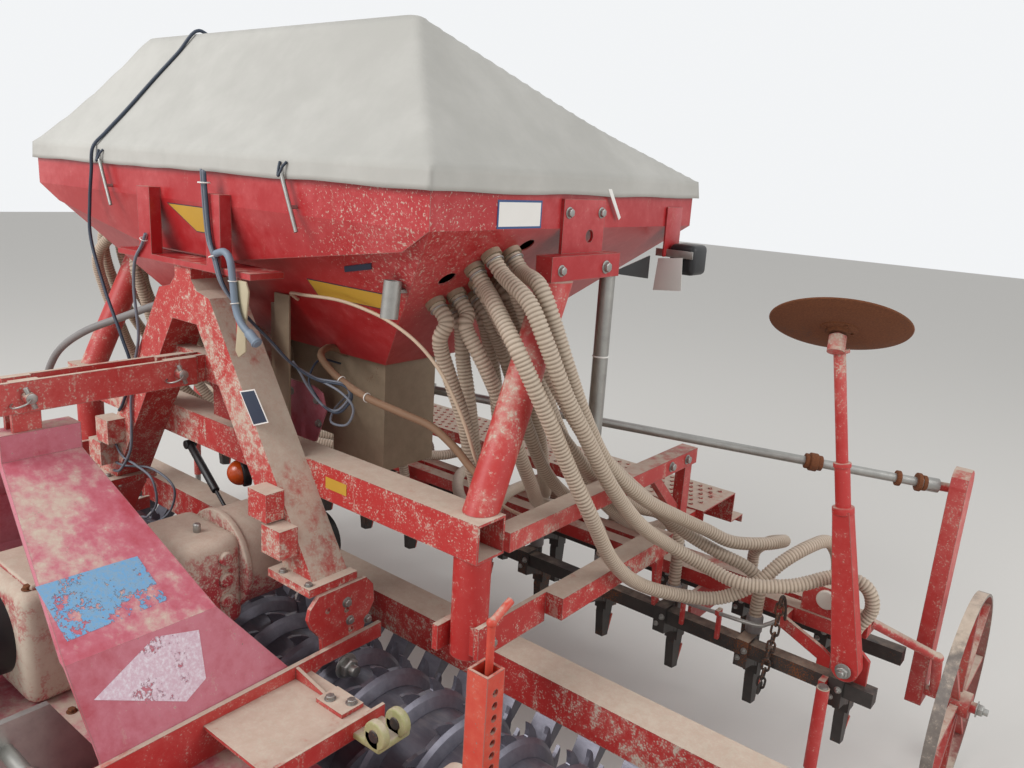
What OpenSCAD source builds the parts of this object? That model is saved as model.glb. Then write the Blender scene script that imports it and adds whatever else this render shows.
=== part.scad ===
// Pneumatic seed drill mounted on a power harrow with a toothed packer roller
// X runs across the machine, -Y is the tractor side, +Y the rear, Z is up

/* [Working width] */
// Working width of the harrow, the roller and the coulters
work_w = 3000; // [2700:50:3300]
// Distance between neighbouring seed rows
row_pitch = 125; // [110:1:135]

/* [Hopper] */
// Width of the hopper across the rim
hopper_w = 1644; // [1500:4:1800]
// Depth of the hopper from its front rim to its rear rim
hopper_d = 1020; // [950:10:1100]
// Height of the rim's lower fold above the ground
fold_z = 1510; // [1500:1:1525]
// Height of the rim band
rim_h = 92; // [60:1:120]
// Thickness of the sheet metal
sheet = 4; // [3:0.5:6]
// Height of the ridge of the cover above the rim fold
ridge_rise = 430; // [300:5:520]

/* [Frame] */
// Section of the main cross beam
beam = 88; // [80:1:96]
// Half length of the main cross beam
beam_half = 910; // [890:1:930]
// Height of the main cross beam's underside
beam_z = 840; // [830:1:850]
// Diameter of the side posts
post_d = 82; // [70:1:90]
// Diameter of the leaning tubes
lean_d = 78; // [60:1:86]

// Diameter of the top link pins
link_pin_d = 25; // [22:1:28]

/* [Coulters] */
// Section of the two coulter bars
bar_s = 40; // [30:1:50]
// Height of the coulter bars' underside
bar_z = 398; // [380:1:420]
// Height of the shares' tips above the ground
share_z = 205; // [190:1:220]
// Diameter of the coulters' seed tubes
seed_d = 38; // [30:1:40]

/* [Roller] */
// Radius of the packer roller over its teeth
roller_r = 244; // [230:1:250]
// Radius of the roller's drum
drum_r = 176; // [160:1:185]
// Distance between the toothed rings
ring_pitch = 125; // [115:1:128]
// Number of teeth on each ring
teeth = 16; // [12:1:20]
// Diameter of the roller's shaft
roller_shaft_d = 60; // [50:1:70]

/* [Harrow] */
// Number of rotors
rotor_count = 10; // [8:1:10]
// Height of the trough's top
trough_z = 420; // [400:1:430]
// Height of the closed trough
trough_h = 120; // [100:1:140]
// Depth of the trough from front to rear
trough_d = 400; // [360:1:404]
// Diameter of the rotors' shafts
rotor_shaft_d = 60; // [50:1:70]
// Height of the tine tips above the ground
tine_z = 2; // [1:0.5:10]
// Diameter of the lower link pins
hitch_d = 28; // [22:1:36]

/* [Land wheel] */
// Radius of the land wheel
wheel_r = 305; // [280:1:330]
// Width of the land wheel's rim
wheel_w = 28; // [20:1:40]
// Diameter of the land wheel's axle
axle_d = 30; // [25:1:40]

/* [Markers] */
// Radius of the marker disc
disc_r = 160; // [140:1:180]
// Length of the marker arm from its pivot to the disc
marker_l = 840; // [780:5:880]
// Diameter of the marker arm's pivot pin and of the disc's axle
marker_pin_d = 20; // [16:1:24]

/* [Stands] */
// Diameter of the parking stands
stand_d = 24; // [20:1:28]
// Length of the parking stands
stand_l = 436; // [400:1:440]

/* [Hidden] */
red = "#b3282d";
dusty = "#a08a72";
dark = "#3b3836";
steel = "#8b8a88";
beige = "#b9aa92";
black = "#1d1d1f";

// Gap of a soft piece, and radial play of a shaft in its bore
gap = 0.3;
run = 0.1;
// Least way between a turning piece and its neighbour
clear = 5;

half_w = work_w / 2;
hw = hopper_w / 2;
rim_z = fold_z + rim_h;
funnel_hw = 430;
funnel_y0 = 262;
funnel_y1 = 640;
funnel_z = 1145;
panel_slope = (hw - funnel_hw) / (fold_z - funnel_z);
hem_z = rim_z - 19;
ridge_hw = 550;
ridge_y = 220;
ridge_z = fold_z + ridge_rise;

a_y0 = -20;
a_y1 = 80;
foot_z = 690;
leg_foot = [401, 509];
foot_t = 20;
ledge_z = 1355;
ledge_t = 15;
link_y = -60;
link_z = 1095;
link_front = -410;
ear_x = [12, 24];
beam_y0 = a_y1;
beam_y1 = beam_y0 + beam;
beam_top = beam_z + beam;
post_x = 862;
post_y = (beam_y0 + beam_y1) / 2;
post_z = 605;
lean_foot = [862, 144, 923];
lean_top = [844, 380, 1420];
bracket_x = 44;
bracket_z = [1400, 1455];
bracket_y = [330, 600];
upper_z = [845, 890];
upper_x = [875, 925];
lower_x = post_x + post_d / 2;

roller_y = 80;
roller_z = roller_r;
side_t = 12;
packer_beam_y = [330, 430];
packer_beam_z = [372, 472];
tooth_w = 10;
ring_count = floor((half_w - 100) / ring_pitch);

rotor_pitch = work_w / rotor_count;
rotor_y = -380;
rotor_r = 125;
trough_y1 = rotor_y + trough_d / 2;
trough_y0 = rotor_y - trough_d / 2;
trough_bottom = trough_z - trough_h;
flange_t = 10;
rail_x = [535, 547];
gear_y = [-500, -140];
housing_x = 200;
housing_z = 660;
housing_r = 120;

fan_x = -40;
fan_z = 1080;
head_rear = -105;
deck_z = 494;
adjuster_y = -168;

bar_y = [880, 1140];
bar_half = half_w + 26;
bar_top = bar_z + bar_s;
tube_back = bar_s / 2 + seed_d / 2 + 3;
row_count = floor(half_w / (2 * row_pitch));
tube_top = bar_top + 34;
rail_y = [[975, 1025], [1050, 1100]];
rail_z = 500;
rail_h = 40;
rail_half = half_w - 60;
board_y = [1080, 1300];
board_z = [640, 680];
step_z = 584;

wheel_x = half_w + 160;
wheel_y = 1240;
hub_w = 70;
case_x = [half_w + 40, half_w + 82];
shaft_near = [half_w + 20, 1290, 872];
shaft_far = [240, 545, 1008];
stub_d = 25;
stand_x = half_w - 80;
stand_y = 835;
marker_x = half_w - 44;
marker_y = 875;
marker_z = 489;
marker_lean = 10;
marker_w = 40;
disc_tilt = 28;

front_y = -840;
rear_y = wheel_y + wheel_r;
reach_right = wheel_x + 50;
reach_left = half_w + 30;
shift = [-(reach_right - reach_left) / 2, -(front_y + rear_y) / 2, 0];

// Moves the machine so that the origin lies under the middle of its box
module placed() translate(shift) children();

// A block between two corners
module block(a, b) translate(a) cube(b - a);

// The same piece on both sides of the machine
module both_sides() {
    children();
    mirror([1, 0, 0]) children();
}

// Turns the Z axis so that it runs from p to q
module along(p, q) {
    v = q - p;
    translate(p) rotate([0, acos(v[2] / norm(v)), atan2(v[1], v[0])]) children();
}

// A plate from x0 to x1 whose outline is given as [y, z] points
module side_plate(x0, x1, outline)
    translate([x0, 0, 0]) rotate([90, 0, 90]) linear_extrude(x1 - x0) polygon(outline);

// A plate from y0 to y1 whose outline is given as [x, z] points
module cross_plate(y0, y1, outline)
    translate([0, y1, 0]) rotate([90, 0, 0]) linear_extrude(y1 - y0) polygon(outline);

// A square bar from p to q, a wide in its upright plane and b wide across it
module bar(p, q, a, b)
    along(p, q) translate([-a / 2, -b / 2, 0]) cube([a, b, norm(q - p)]);

// A round rod from p to q
module rod(p, q, d) along(p, q) cylinder(d = d, h = norm(q - p), $fn = 48);

// A round tube from p to q with walls t thick
module tube(p, q, d, t) along(p, q) difference() {
    cylinder(d = d, h = norm(q - p), $fn = 48);
    translate([0, 0, -1]) cylinder(d = d - 2 * t, h = norm(q - p) + 2, $fn = 48);
}

// A square tube along X from x0 to x1, with walls t thick
module beam_tube(x0, x1, y, z, t) difference() {
    block([x0, y[0], z[0]], [x1, y[1], z[1]]);
    block([x0 - 1, y[0] + t, z[0] + t], [x1 + 1, y[1] - t, z[1] - t]);
}

// A closed stack of rectangles [half width, y0, y1, z] from the top down
module stack(rows) {
    n = len(rows);
    pts = [for (r = rows) each [[-r[0], r[1], r[3]], [r[0], r[1], r[3]],
        [r[0], r[2], r[3]], [-r[0], r[2], r[3]]]];
    sides = [for (i = [0 : n - 2]) for (k = [0 : 3])
        [i * 4 + k, i * 4 + (k + 1) % 4, i * 4 + 4 + (k + 1) % 4, i * 4 + 4 + k]];
    last = 4 * (n - 1);
    polyhedron(pts, concat([[3, 2, 1, 0]], sides,
        [[last, last + 1, last + 2, last + 3]]));
}

// Hopper: rim band, sloping panels and the folded apron on its front
module hopper() color(red) placed() {
    difference() {
        stack([[hw, 0, hopper_d, rim_z], [hw, 0, hopper_d, fold_z],
            [funnel_hw, funnel_y0, funnel_y1, funnel_z]]);
        stack([[hw - sheet, sheet, hopper_d - sheet, rim_z + 1],
            [hw - sheet, sheet, hopper_d - sheet, fold_z],
            [funnel_hw - sheet, funnel_y0 + sheet, funnel_y1 - sheet,
                funnel_z + sheet]]);
        both_sides() for (h = [[700, 183], [779, 347]])
            rod(panel(h[0], h[1]) - 20 * panel_out, panel(h[0], h[1]) + 20 * panel_out, 42);
    }
    apron_h = fold_z - ledge_z - ledge_t;
    translate([0, 0, fold_z]) rotate([atan2(45, apron_h), 0, 0])
        cross_plate(0, sheet, [[-hw, 0], [-735, -50], [-299, -apron_h],
            [119, -apron_h], [735, -50], [hw, 0]]);
}

// Soft cover: a hipped sheet with a straight hem that hangs outside the rim
module hopper_cover() color(beige) placed() difference() {
    roof(hw + gap + 8, -gap - 8, hopper_d + gap + 8, hem_z, ridge_hw, ridge_z);
    roof(hw + gap, -gap, hopper_d + gap, hem_z - 1, ridge_hw - 5, ridge_z - 8);
}
module roof(w, y0, y1, z0, rw, rz) polyhedron(
    [[-w, y0, z0], [w, y0, z0], [w, y1, z0], [-w, y1, z0],
        [-w, y0, z0 + 45], [w, y0, z0 + 45], [w, y1, z0 + 45], [-w, y1, z0 + 45],
        [-rw, ridge_y, rz], [rw, ridge_y, rz]],
    [[0, 1, 2, 3], [0, 4, 5, 1], [1, 5, 6, 2], [2, 6, 7, 3], [3, 7, 4, 0],
        [4, 8, 9, 5], [5, 9, 6], [6, 9, 8, 7], [7, 8, 4]]);

// Tie hooks under the cover's eyelets on the front rim
module cover_hooks() color(steel) placed()
    for (x = [-400, 400]) {
        rod([x, -18, hem_z + 10], [x + 50, -18, fold_z - 34], 9);
        rod([x + 28, -18, fold_z + 16], [x + 28, 0, fold_z + 16], 8);
    }

// Two box posts and the ledge that carries them on the A-frame's cap
module hopper_posts() color(red) placed() {
    for (x = [-155, 155])
        block([x - 30, -30, ledge_z + ledge_t], [x + 30, 0, fold_z + 26]);
    block([-300, -30, ledge_z], [300, 60, ledge_z + ledge_t]);
}

// A-frame: neck and cap, two leaning legs, box stubs and foot plates
module a_frame() color(red) placed() {
    cross_plate(a_y0, a_y1, [[-37, ledge_z], [37, ledge_z], [37, 1325], [62, 1300],
        [115, 1288], [leg_foot[1], foot_z], [leg_foot[0], foot_z], [55, 1216],
        [-55, 1216], [-leg_foot[0], foot_z], [-leg_foot[1], foot_z], [-115, 1288],
        [-62, 1300], [-37, 1325]]);
    both_sides() {
        block([335, a_y0 - 50, 815], [405, a_y0, 885]);
        block([385, a_y0 - 50, 740], [455, a_y0, 810]);
        block([380, -50, foot_z - foot_t], [rail_x[0], 90, foot_z]);
        difference() {
            block([ear_x[0], link_y - 30, link_z - 35], [ear_x[1], 20, link_z + 35]);
            rod([0, link_y, link_z], [40, link_y, link_z], link_pin_d + 2 * run);
        }
    }
    block([-180, 20, link_z - 35], [180, 60, link_z + 35]);
}

// Flat bars of the top link between the A-frame and the harrow's headstock
module top_bar() color(red) placed() {
    both_sides() difference() {
        block([ear_x[1], -520, link_z - 35], [ear_x[1] + 12, link_y + 50, link_z + 35]);
        rod([0, -480, link_z], [60, -480, link_z], link_pin_d + 1);
    }
    for (y = [link_y, link_front])
        rod([-60, y, link_z], [60, y, link_z], link_pin_d);
}

// Main cross beam: a square tube with open ends
module main_beam() color(red) placed()
    beam_tube(-beam_half, beam_half, [beam_y0, beam_y1], [beam_z, beam_top], 6);

// Side frames: a round post under the beam and a leaning tube up to the bracket
module side_frames() color(red) placed() both_sides() {
    rod([post_x, post_y, post_z], [post_x, post_y, beam_z], post_d);
    block([post_x, post_y - 30, post_z + 15], [lower_x, post_y + 30, post_z + 80]);
    block([post_x - post_d / 2 - 12, post_y - 60, post_z + 10],
        [post_x - post_d / 2 + 4, post_y + 60, post_z + 70]);
    intersection() {
        rod(lean_foot - [0, 0.475, 1] * 80, lean_top + [0, 0.475, 1] * 80, lean_d);
        block([post_x - 100, 0, beam_top], [post_x + 100, 600, bracket_z[0]]);
    }
}

// Folded brackets and rim plates that hold the hopper's ends
module end_brackets() color(red) placed() both_sides() {
    block([hw, bracket_y[0], bracket_z[0]], [hw + bracket_x, bracket_y[1], bracket_z[1]]);
    difference() {
        block([hw, 410, bracket_z[1]], [hw + 8, 575, hem_z - 8]);
        rod([hw - 1, 517, 1492], [hw + 9, 517, 1492], 30);
    }
}

// Upper arms from the main beam back to the footboard
module upper_arms() color(red) placed() both_sides() {
    side_plate(upper_x[0], upper_x[1], [[beam_y1, upper_z[0]], [beam_y1, upper_z[1]],
        [1020, upper_z[1]], [1020, upper_z[0]]]);
    block([885, 975, 665], [915, 1015, upper_z[0]]);
    side_plate(885, 905, [[800, upper_z[0]], [840, upper_z[0]], [975, 720], [975, 680]]);
    block([885, 1015, 650], [915, board_y[0], 675]);
}

// Lower arms from the side posts back to the coulter frame
module lower_arms() color(red) placed() both_sides() {
    block([lower_x, post_y - 30, post_z + 10], [lower_x + 12, 330, 690]);
    block([lower_x, 330, 635], [lower_x + 60, bar_y[0] - 30, 690]);
    side_plate(lower_x, lower_x + 14, [[bar_y[0] - 30, 635], [bar_y[0] - 30, 690],
        [bar_y[0], 672], [bar_y[0] + 20, 640], [bar_y[0] + 20, bar_top],
        [bar_y[0], bar_top]]);
}

// Tread plate behind the hopper, with a lower step folded on behind it
module footboard() color(red) placed() side_plate(-940, 940, [
    [board_y[0], board_z[0]], [board_y[0], board_z[1]], [board_y[1], board_z[1]],
    [board_y[1], step_z], [board_y[1] + 84, step_z], [board_y[1] + 84, step_z - 28],
    [board_y[1] + 80, step_z - 28], [board_y[1] + 80, step_z - 4],
    [board_y[1] - 4, step_z - 4], [board_y[1] - 4, board_z[1] - 4],
    [board_y[0] + 4, board_z[1] - 4], [board_y[0] + 4, board_z[0]]]);

// Two dark square bars that carry the coulters
module coulter_bars() color(dark) placed()
    for (y = bar_y)
        block([-bar_half, y, bar_z], [bar_half, y + bar_s, bar_top]);

// Red rails and cross plates of the coulter frame
module coulter_rails() color(red) placed() {
    for (y = rail_y)
        block([-rail_half, y[0], rail_z], [rail_half, y[1], rail_z + rail_h]);
    both_sides() for (x = [250, 1000, rail_half - 34])
        block([x, bar_y[0] + bar_s, bar_z], [x + 10, bar_y[1], rail_z]);
}

// One coulter: clamp round its bar, trailing arm with the seed tube, and the boot
module coulter(tip) {
    difference() {
        side_plate(-18, 18, [[-bar_s / 2 - 8, bar_top + 8], [bar_s / 2 + 8, bar_top + 8],
            [bar_s / 2 + 8, bar_z - 14], [62, bar_z - 42], [70, bar_z - 66],
            [20, bar_z - 40], [-bar_s / 2 - 8, bar_z - 30]]);
        block([-19, -bar_s / 2, bar_z], [19, bar_s / 2, bar_top]);
    }
    side_plate(-20, 20, [[60, bar_z - 44], [108, bar_z - 54], [108, bar_z - 88],
        [60, bar_z - 88]]);
    side_plate(-13, 13, [[64, bar_z - 60], [106, bar_z - 60], [112, bar_z - 100],
        [98, tip], [66, tip + 6], [58, bar_z - 100]]);
    translate([0, tube_back, bar_z - 50])
        cylinder(d = seed_d, h = tube_top - bar_z + 50, $fn = 48);
}
module coulter_row(y, first, tip) color(dark) placed()
    for (i = [0 : row_count - 1]) both_sides()
        translate([first + 2 * i * row_pitch, y + bar_s / 2, 0]) coulter(tip);
module coulters_front() coulter_row(bar_y[0], 1.5 * row_pitch, share_z);
module coulters_rear() coulter_row(bar_y[1], 0.5 * row_pitch, share_z - 45);

// Place of a hose collar on the sloping end panel, and the panel's outward way
function panel(x, y) = [x, y, funnel_z + (x - funnel_hw) / panel_slope];
panel_out = [1, 0, -panel_slope] / norm([1, panel_slope]);
collar_h = 12;

// Seed hoses of the right-hand side, from their collars down to the coulters
// Columns: x and y of the collar, then points [x, y, z] on the way
hose_d = 36;
routes = [
    [[764, 244], [[890, 225, 1370], [935, 235, 1290], [965, 275, 1180], [990, 330, 1080],
        [1010, 420, 950], [1015, 560, 820], [1030, 700, 725], [1100, 765, 672],
        [1202, 775, 655], [1304, 835, 665], [1385, 924, 688], [1450, 945, 678],
        [1472, 955, 620], [1446, 944, 560], [1437.5, 942, 510], [1437.5, 942, 472]]],
    [[729, 232], [[830, 205, 1340], [900, 195, 1263], [945, 240, 1139], [970, 290, 1030],
        [1000, 355, 900], [1000, 470, 750], [1003, 610, 640], [1060, 730, 585],
        [1136, 800, 580], [1205, 850, 625], [1250, 915, 685], [1285, 1000, 712],
        [1303, 1090, 702], [1311, 1165, 640], [1312.5, 1202, 555], [1312.5, 1202, 472]]],
    [[766, 308], [[880, 270, 1400], [915, 280, 1330], [940, 310, 1230], [955, 370, 1110],
        [970, 460, 985], [1000, 590, 875], [1025, 740, 790], [1060, 840, 735],
        [1110, 900, 698], [1165, 985, 683], [1186, 1060, 672], [1168, 1135, 645],
        [1110, 1185, 605], [1068, 1200, 560], [1062.5, 1202, 515], [1062.5, 1202, 472]]],
    [[725, 330], [[797, 396, 1232], [850, 450, 1100], [890, 500, 1010], [925, 570, 932],
        [960, 660, 850], [966, 780, 765], [1010, 850, 700], [1080, 890, 660], [1150, 925, 630],
        [1186, 941, 590], [1187.5, 942, 520], [1187.5, 942, 472]]],
    [[690, 290], [[764, 350, 1230], [800, 430, 1080], [840, 530, 950], [850, 640, 850],
        [850, 760, 780], [865, 840, 735], [888, 890, 716], [914, 926, 678], [934, 944, 615],
        [937.5, 942, 530], [937.5, 942, 472]]],
    [[690, 360], [[752, 436, 1200], [785, 500, 1040], [795, 600, 900], [803, 720, 775],
        [808, 850, 680], [810, 980, 615], [812, 1080, 598], [812, 1160, 582],
        [812.5, 1202, 530], [812.5, 1202, 472]]],
    [[650, 330], [[697, 352, 1265], [705, 400, 1180], [720, 480, 1000], [715, 580, 860],
        [705, 720, 745], [692, 850, 655], [688, 925, 575], [687.5, 942, 520],
        [687.5, 942, 472]]],
    [[656, 258], [[705, 245, 1284], [745, 270, 1200], [765, 310, 1110], [775, 370, 990],
        [760, 450, 880], [700, 570, 780], [625, 740, 700], [575, 900, 635], [563, 1020, 602],
        [562, 1100, 598], [562, 1165, 580], [562.5, 1202, 530], [562.5, 1202, 472]]],
    [[637, 212], [[665, 205, 1250], [675, 235, 1160], [690, 270, 1060], [690, 310, 930],
        [660, 390, 800], [580, 520, 715], [470, 680, 665], [370, 860, 630], [320, 1010, 603],
        [312, 1100, 598], [312, 1165, 580], [312.5, 1202, 530], [312.5, 1202, 472]]],
    [[610, 290], [[650, 300, 1200], [660, 320, 1080], [650, 360, 930], [600, 430, 790],
        [480, 540, 700], [300, 700, 655], [150, 870, 625], [80, 1010, 603], [64, 1100, 598],
        [62, 1165, 580], [62.5, 1202, 530], [62.5, 1202, 472]]],
    [[612, 372], [[645, 420, 1150], [630, 480, 970], [570, 580, 815], [430, 740, 725],
        [290, 860, 660], [205, 925, 585], [187.5, 942, 520], [187.5, 942, 472]]],
    [[650, 410], [[696, 430, 1262], [700, 480, 1170], [695, 560, 970], [650, 660, 810],
        [565, 790, 715], [490, 885, 640], [445, 935, 560], [437.5, 942, 520],
        [437.5, 942, 472]]]];
function start(r) = panel(r[0][0], r[0][1]);
function way(r) = concat([start(r) + collar_h * panel_out,
    start(r) + (collar_h + 45) * panel_out], r[1]);

// Place at u on the smooth curve that passes through every point of p
function spot(p, u) = let (last = len(p) - 1, i = min(floor(u), last - 1), t = u - i,
    a = p[max(i - 1, 0)], b = p[i], c = p[i + 1], d = p[min(i + 2, last)])
    (2 * b + (c - a) * t + (2 * a - 5 * b + 4 * c - d) * t * t
        + (3 * b - a - 3 * c + d) * t * t * t) / 2;
function unit(v) = v / norm(v);

// Sideways directions of a hose's rings, each as near as may be to the one before
function across(way, i, last) = let (u = unit(last - (last * way[i]) * way[i]))
    i == len(way) - 1 ? [u] : concat([u], across(way, i + 1, u));

// A hose along a route, as rings of points
module sweep(route, d, rings = 25, sides = 8) {
    n = len(route);
    line = [for (i = [0 : rings]) spot(route, i / rings * (n - 1))];
    way = concat([unit(route[1] - route[0])],
        [for (i = [1 : rings - 1]) unit(line[i + 1] - line[i - 1])],
        [unit(route[n - 1] - route[n - 2])]);
    side = across(way, 0, [0, 1, 0]);
    pts = [for (i = [0 : rings]) let (v = cross(way[i], side[i]))
        for (k = [0 : sides - 1])
            line[i] + d / 2 * (cos(k * 360 / sides) * side[i] + sin(k * 360 / sides) * v)];
    polyhedron(pts, concat([[for (k = [0 : sides - 1]) k]],
        [for (i = [0 : rings - 1]) for (k = [0 : sides - 1])
            [i * sides + k, (i + 1) * sides + k, (i + 1) * sides + (k + 1) % sides,
                i * sides + (k + 1) % sides]],
        [[for (k = [sides - 1 : -1 : 0]) rings * sides + k]]));
}
module hoses() for (r = routes) sweep(way(r), hose_d);
module hoses_right() color(beige) placed() hoses();
module hoses_left() color(beige) placed() mirror([1, 0, 0]) hoses();

// Collars on the sloping end panels
module hose_collars() color(dusty) placed() both_sides()
    for (r = routes)
        rod(start(r), start(r) + collar_h * panel_out, hose_d + 10);

// Place on the drive shaft's axis with a given x
function shaft_at(x) = shaft_far
    + (x - shaft_far[0]) / (shaft_near[0] - shaft_far[0]) * (shaft_near - shaft_far);

// Metering box under the hopper, with the far stub of the drive shaft
module metering_box() color(dusty) placed() {
    block([200, 290, 850], [400, 470, funnel_z]);
    block([-200, 300, 900], [200, 600, funnel_z]);
    rod(shaft_at(185), shaft_at(0.97 * shaft_far[0] + 0.03 * shaft_near[0]), stub_d);
}

// Fan housing on the main beam
module fan() color(red) placed() {
    rod([fan_x, 110, fan_z], [fan_x, 220, fan_z], 190);
    block([fan_x - 50, 110, beam_top], [fan_x + 50, 160, fan_z - 50]);
}

// Belt pulley on the gearbox's rear shaft
module fan_drive() color(black) placed() {
    rod([250, 190, 645], [250, 215, 645], 150);
    rod([250, 80, 645], [250, 190, 645], 40);
}

// Air pipe from the fan to the metering box
module air_pipe() color(dusty) placed()
    rod([fan_x, 220, fan_z], [fan_x, 300, fan_z], 110);

// Grey drain tubes at the hopper's ends
module drain_tubes() color(steel) placed() both_sides()
    tube([hw + 20, bracket_y[1] - 10, 950], [hw + 20, bracket_y[1] - 10, bracket_z[0]],
        38, 3);

// Lamps on brackets at the hopper's rear corners
module lamps() color(black) placed() both_sides() {
    block([hw, hopper_d - 140, 1430], [hw + 6, hopper_d - 60, fold_z + 50]);
    block([hw + 6, hopper_d - 120, 1370], [hw + 70, hopper_d - 40, 1450]);
}

// Land wheel: rim, spokes and hub
module land_wheel() color(red) placed() translate([wheel_x, wheel_y, wheel_r])
    rotate([0, 90, 0]) {
        difference() {
            cylinder(r = wheel_r, h = wheel_w, center = true, $fn = 96);
            cylinder(r = wheel_r - 8, h = wheel_w + 2, center = true, $fn = 96);
        }
        difference() {
            cylinder(d = axle_d + 40, h = hub_w, center = true, $fn = 48);
            cylinder(d = axle_d + 2 * run, h = hub_w + 2, center = true, $fn = 48);
        }
        for (a = [0 : 45 : 315]) rotate(a)
            translate([axle_d / 2 + 10, -6, -10])
                cube([wheel_r - axle_d / 2 - 14, 12, 20]);
    }

// Bent arm and axle that carry the land wheel
module wheel_arm() color(red) placed() {
    rod([case_x[1], wheel_y, wheel_r], [reach_right, wheel_y, wheel_r], axle_d);
    rod([wheel_x - 56, wheel_y, wheel_r], [wheel_x - 56, 1180, 440], 26);
    translate([wheel_x - 56, 1180, 440]) sphere(d = 30, $fn = 48);
    rod([wheel_x - 56, 1180, 440], [rail_half + 8, 1085, 520], 26);
    block([rail_half, 1040, rail_z - 10], [rail_half + 12, 1110, rail_z + rail_h + 10]);
}

// Chain case beside the land wheel, with the stub of the drive shaft
module chain_case() color(red) placed() {
    side_plate(case_x[0], case_x[1], [[wheel_y - 35, wheel_r - 35],
        [wheel_y + 35, wheel_r - 35], [1332, 895], [1322, 920], [1300, 934],
        [1276, 932], [1256, 915], [1250, 890]]);
    rod(shaft_at(case_x[0] + 20),
        shaft_at(0.03 * shaft_far[0] + 0.97 * shaft_near[0]), stub_d);
}

// Drive shaft whose sockets turn on the stubs of the chain case and the metering box
module drive_shaft() color(steel) placed() difference() {
    span = shaft_near - shaft_far;
    union() {
        rod(shaft_far + 0.04 * span, shaft_near - 0.04 * span, stub_d);
        rod(shaft_far + 0.01 * span, shaft_far + 0.045 * span, stub_d + 14);
        rod(shaft_near - 0.045 * span, shaft_near - 0.01 * span, stub_d + 14);
    }
    rod(shaft_far, shaft_far + 0.035 * span, stub_d + 2 * run);
    rod(shaft_near - 0.035 * span, shaft_near, stub_d + 2 * run);
}

// Marker arms, folded up beside the machine
module marker_arm() translate([marker_x, marker_y, marker_z])
    rotate([0, -marker_lean, 0]) {
        translate([0, marker_w / 2, 0]) rotate([90, 0, 0]) difference() {
            union() {
                cylinder(r = 33, h = marker_w, $fn = 64);
                linear_extrude(marker_w)
                    polygon([[-33, 0], [33, 0], [20, 400], [-20, 400]]);
            }
            translate([0, 0, -1])
                cylinder(d = marker_pin_d + 2 * run, h = marker_w + 2, $fn = 48);
        }
        translate([0, 0, 400]) cylinder(d = 36, h = 110, $fn = 48);
        translate([0, 0, 510]) cylinder(d = 28, h = marker_l - 548, $fn = 48);
        translate([0, 0, marker_l]) rotate([-disc_tilt, 0, 0]) {
            translate([0, 0, -60]) cylinder(d = 40, h = 40, $fn = 48);
            translate([0, 0, -20]) cylinder(d = marker_pin_d, h = 40, $fn = 48);
        }
    }
module marker_arm_right() color(red) placed() marker_arm();
module marker_arm_left() color(red) placed() mirror([1, 0, 0]) marker_arm();

// Marker discs on their hubs
module marker_disc() translate([marker_x, marker_y, marker_z])
    rotate([0, -marker_lean, 0]) translate([0, 0, marker_l])
        rotate([-disc_tilt, 0, 0]) difference() {
            union() {
                cylinder(r = disc_r, h = 5, $fn = 96);
                translate([0, 0, -20 + clear + 1]) cylinder(d = 50, h = 26, $fn = 48);
            }
            translate([0, 0, -20])
                cylinder(d = marker_pin_d + 2 * run, h = 40, $fn = 48);
        }
module marker_disc_right() color(dusty) placed() marker_disc();
module marker_disc_left() color(dusty) placed() mirror([1, 0, 0]) marker_disc();

// Brackets and pins of the marker arms, with their braces and the block on the rail
module marker_mounts() color(red) placed() both_sides() {
    rod([marker_x, marker_y - marker_w / 2 - 10, marker_z],
        [marker_x, bar_y[0] + 33, marker_z], marker_pin_d);
    cross_plate(bar_y[0] + 21, bar_y[0] + 33, [[marker_x + 4, bar_top],
        [marker_x + 44, bar_top], [marker_x + 44, 505], [marker_x + 22, 524],
        [marker_x - 22, 524], [marker_x - 22, 454], [marker_x + 4, 454]]);
    cross_plate(bar_y[0] + bar_s, bar_y[0] + bar_s + 12, [[marker_x - 194, rail_z],
        [marker_x - 194, rail_z + 35], [marker_x - 76, 485], [marker_x - 51, 470],
        [marker_x - 51, bar_z + 4], [marker_x - 86, bar_z + 4], [marker_x - 86, 452]]);
    block([marker_x - 194, bar_y[0] + bar_s + 12, rail_z],
        [marker_x - 180, rail_y[0][0], rail_z + 35]);
    block([marker_x - 166, rail_y[0][0] + 8, rail_z + rail_h],
        [marker_x - 71, rail_y[0][0] + 42, 622]);
}

// Sockets of the two parking stands
module stand_sockets() color(red) placed() both_sides() {
    tube([stand_x, stand_y, 200], [stand_x, stand_y, 430], stand_d + 8, 4);
    block([stand_x - 18, stand_y + stand_d / 2 + 1, bar_z],
        [stand_x - 2, bar_y[0], bar_top]);
}

// Parking stands that slide in the sockets
module stand() {
    translate([stand_x, stand_y, 0]) {
        cylinder(d = 70, h = 6, $fn = 48);
        cylinder(d = stand_d - 2 * run, h = stand_l, $fn = 48);
    }
}
module stand_right() color(steel) placed() stand();
module stand_left() color(steel) placed() mirror([1, 0, 0]) stand();

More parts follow.
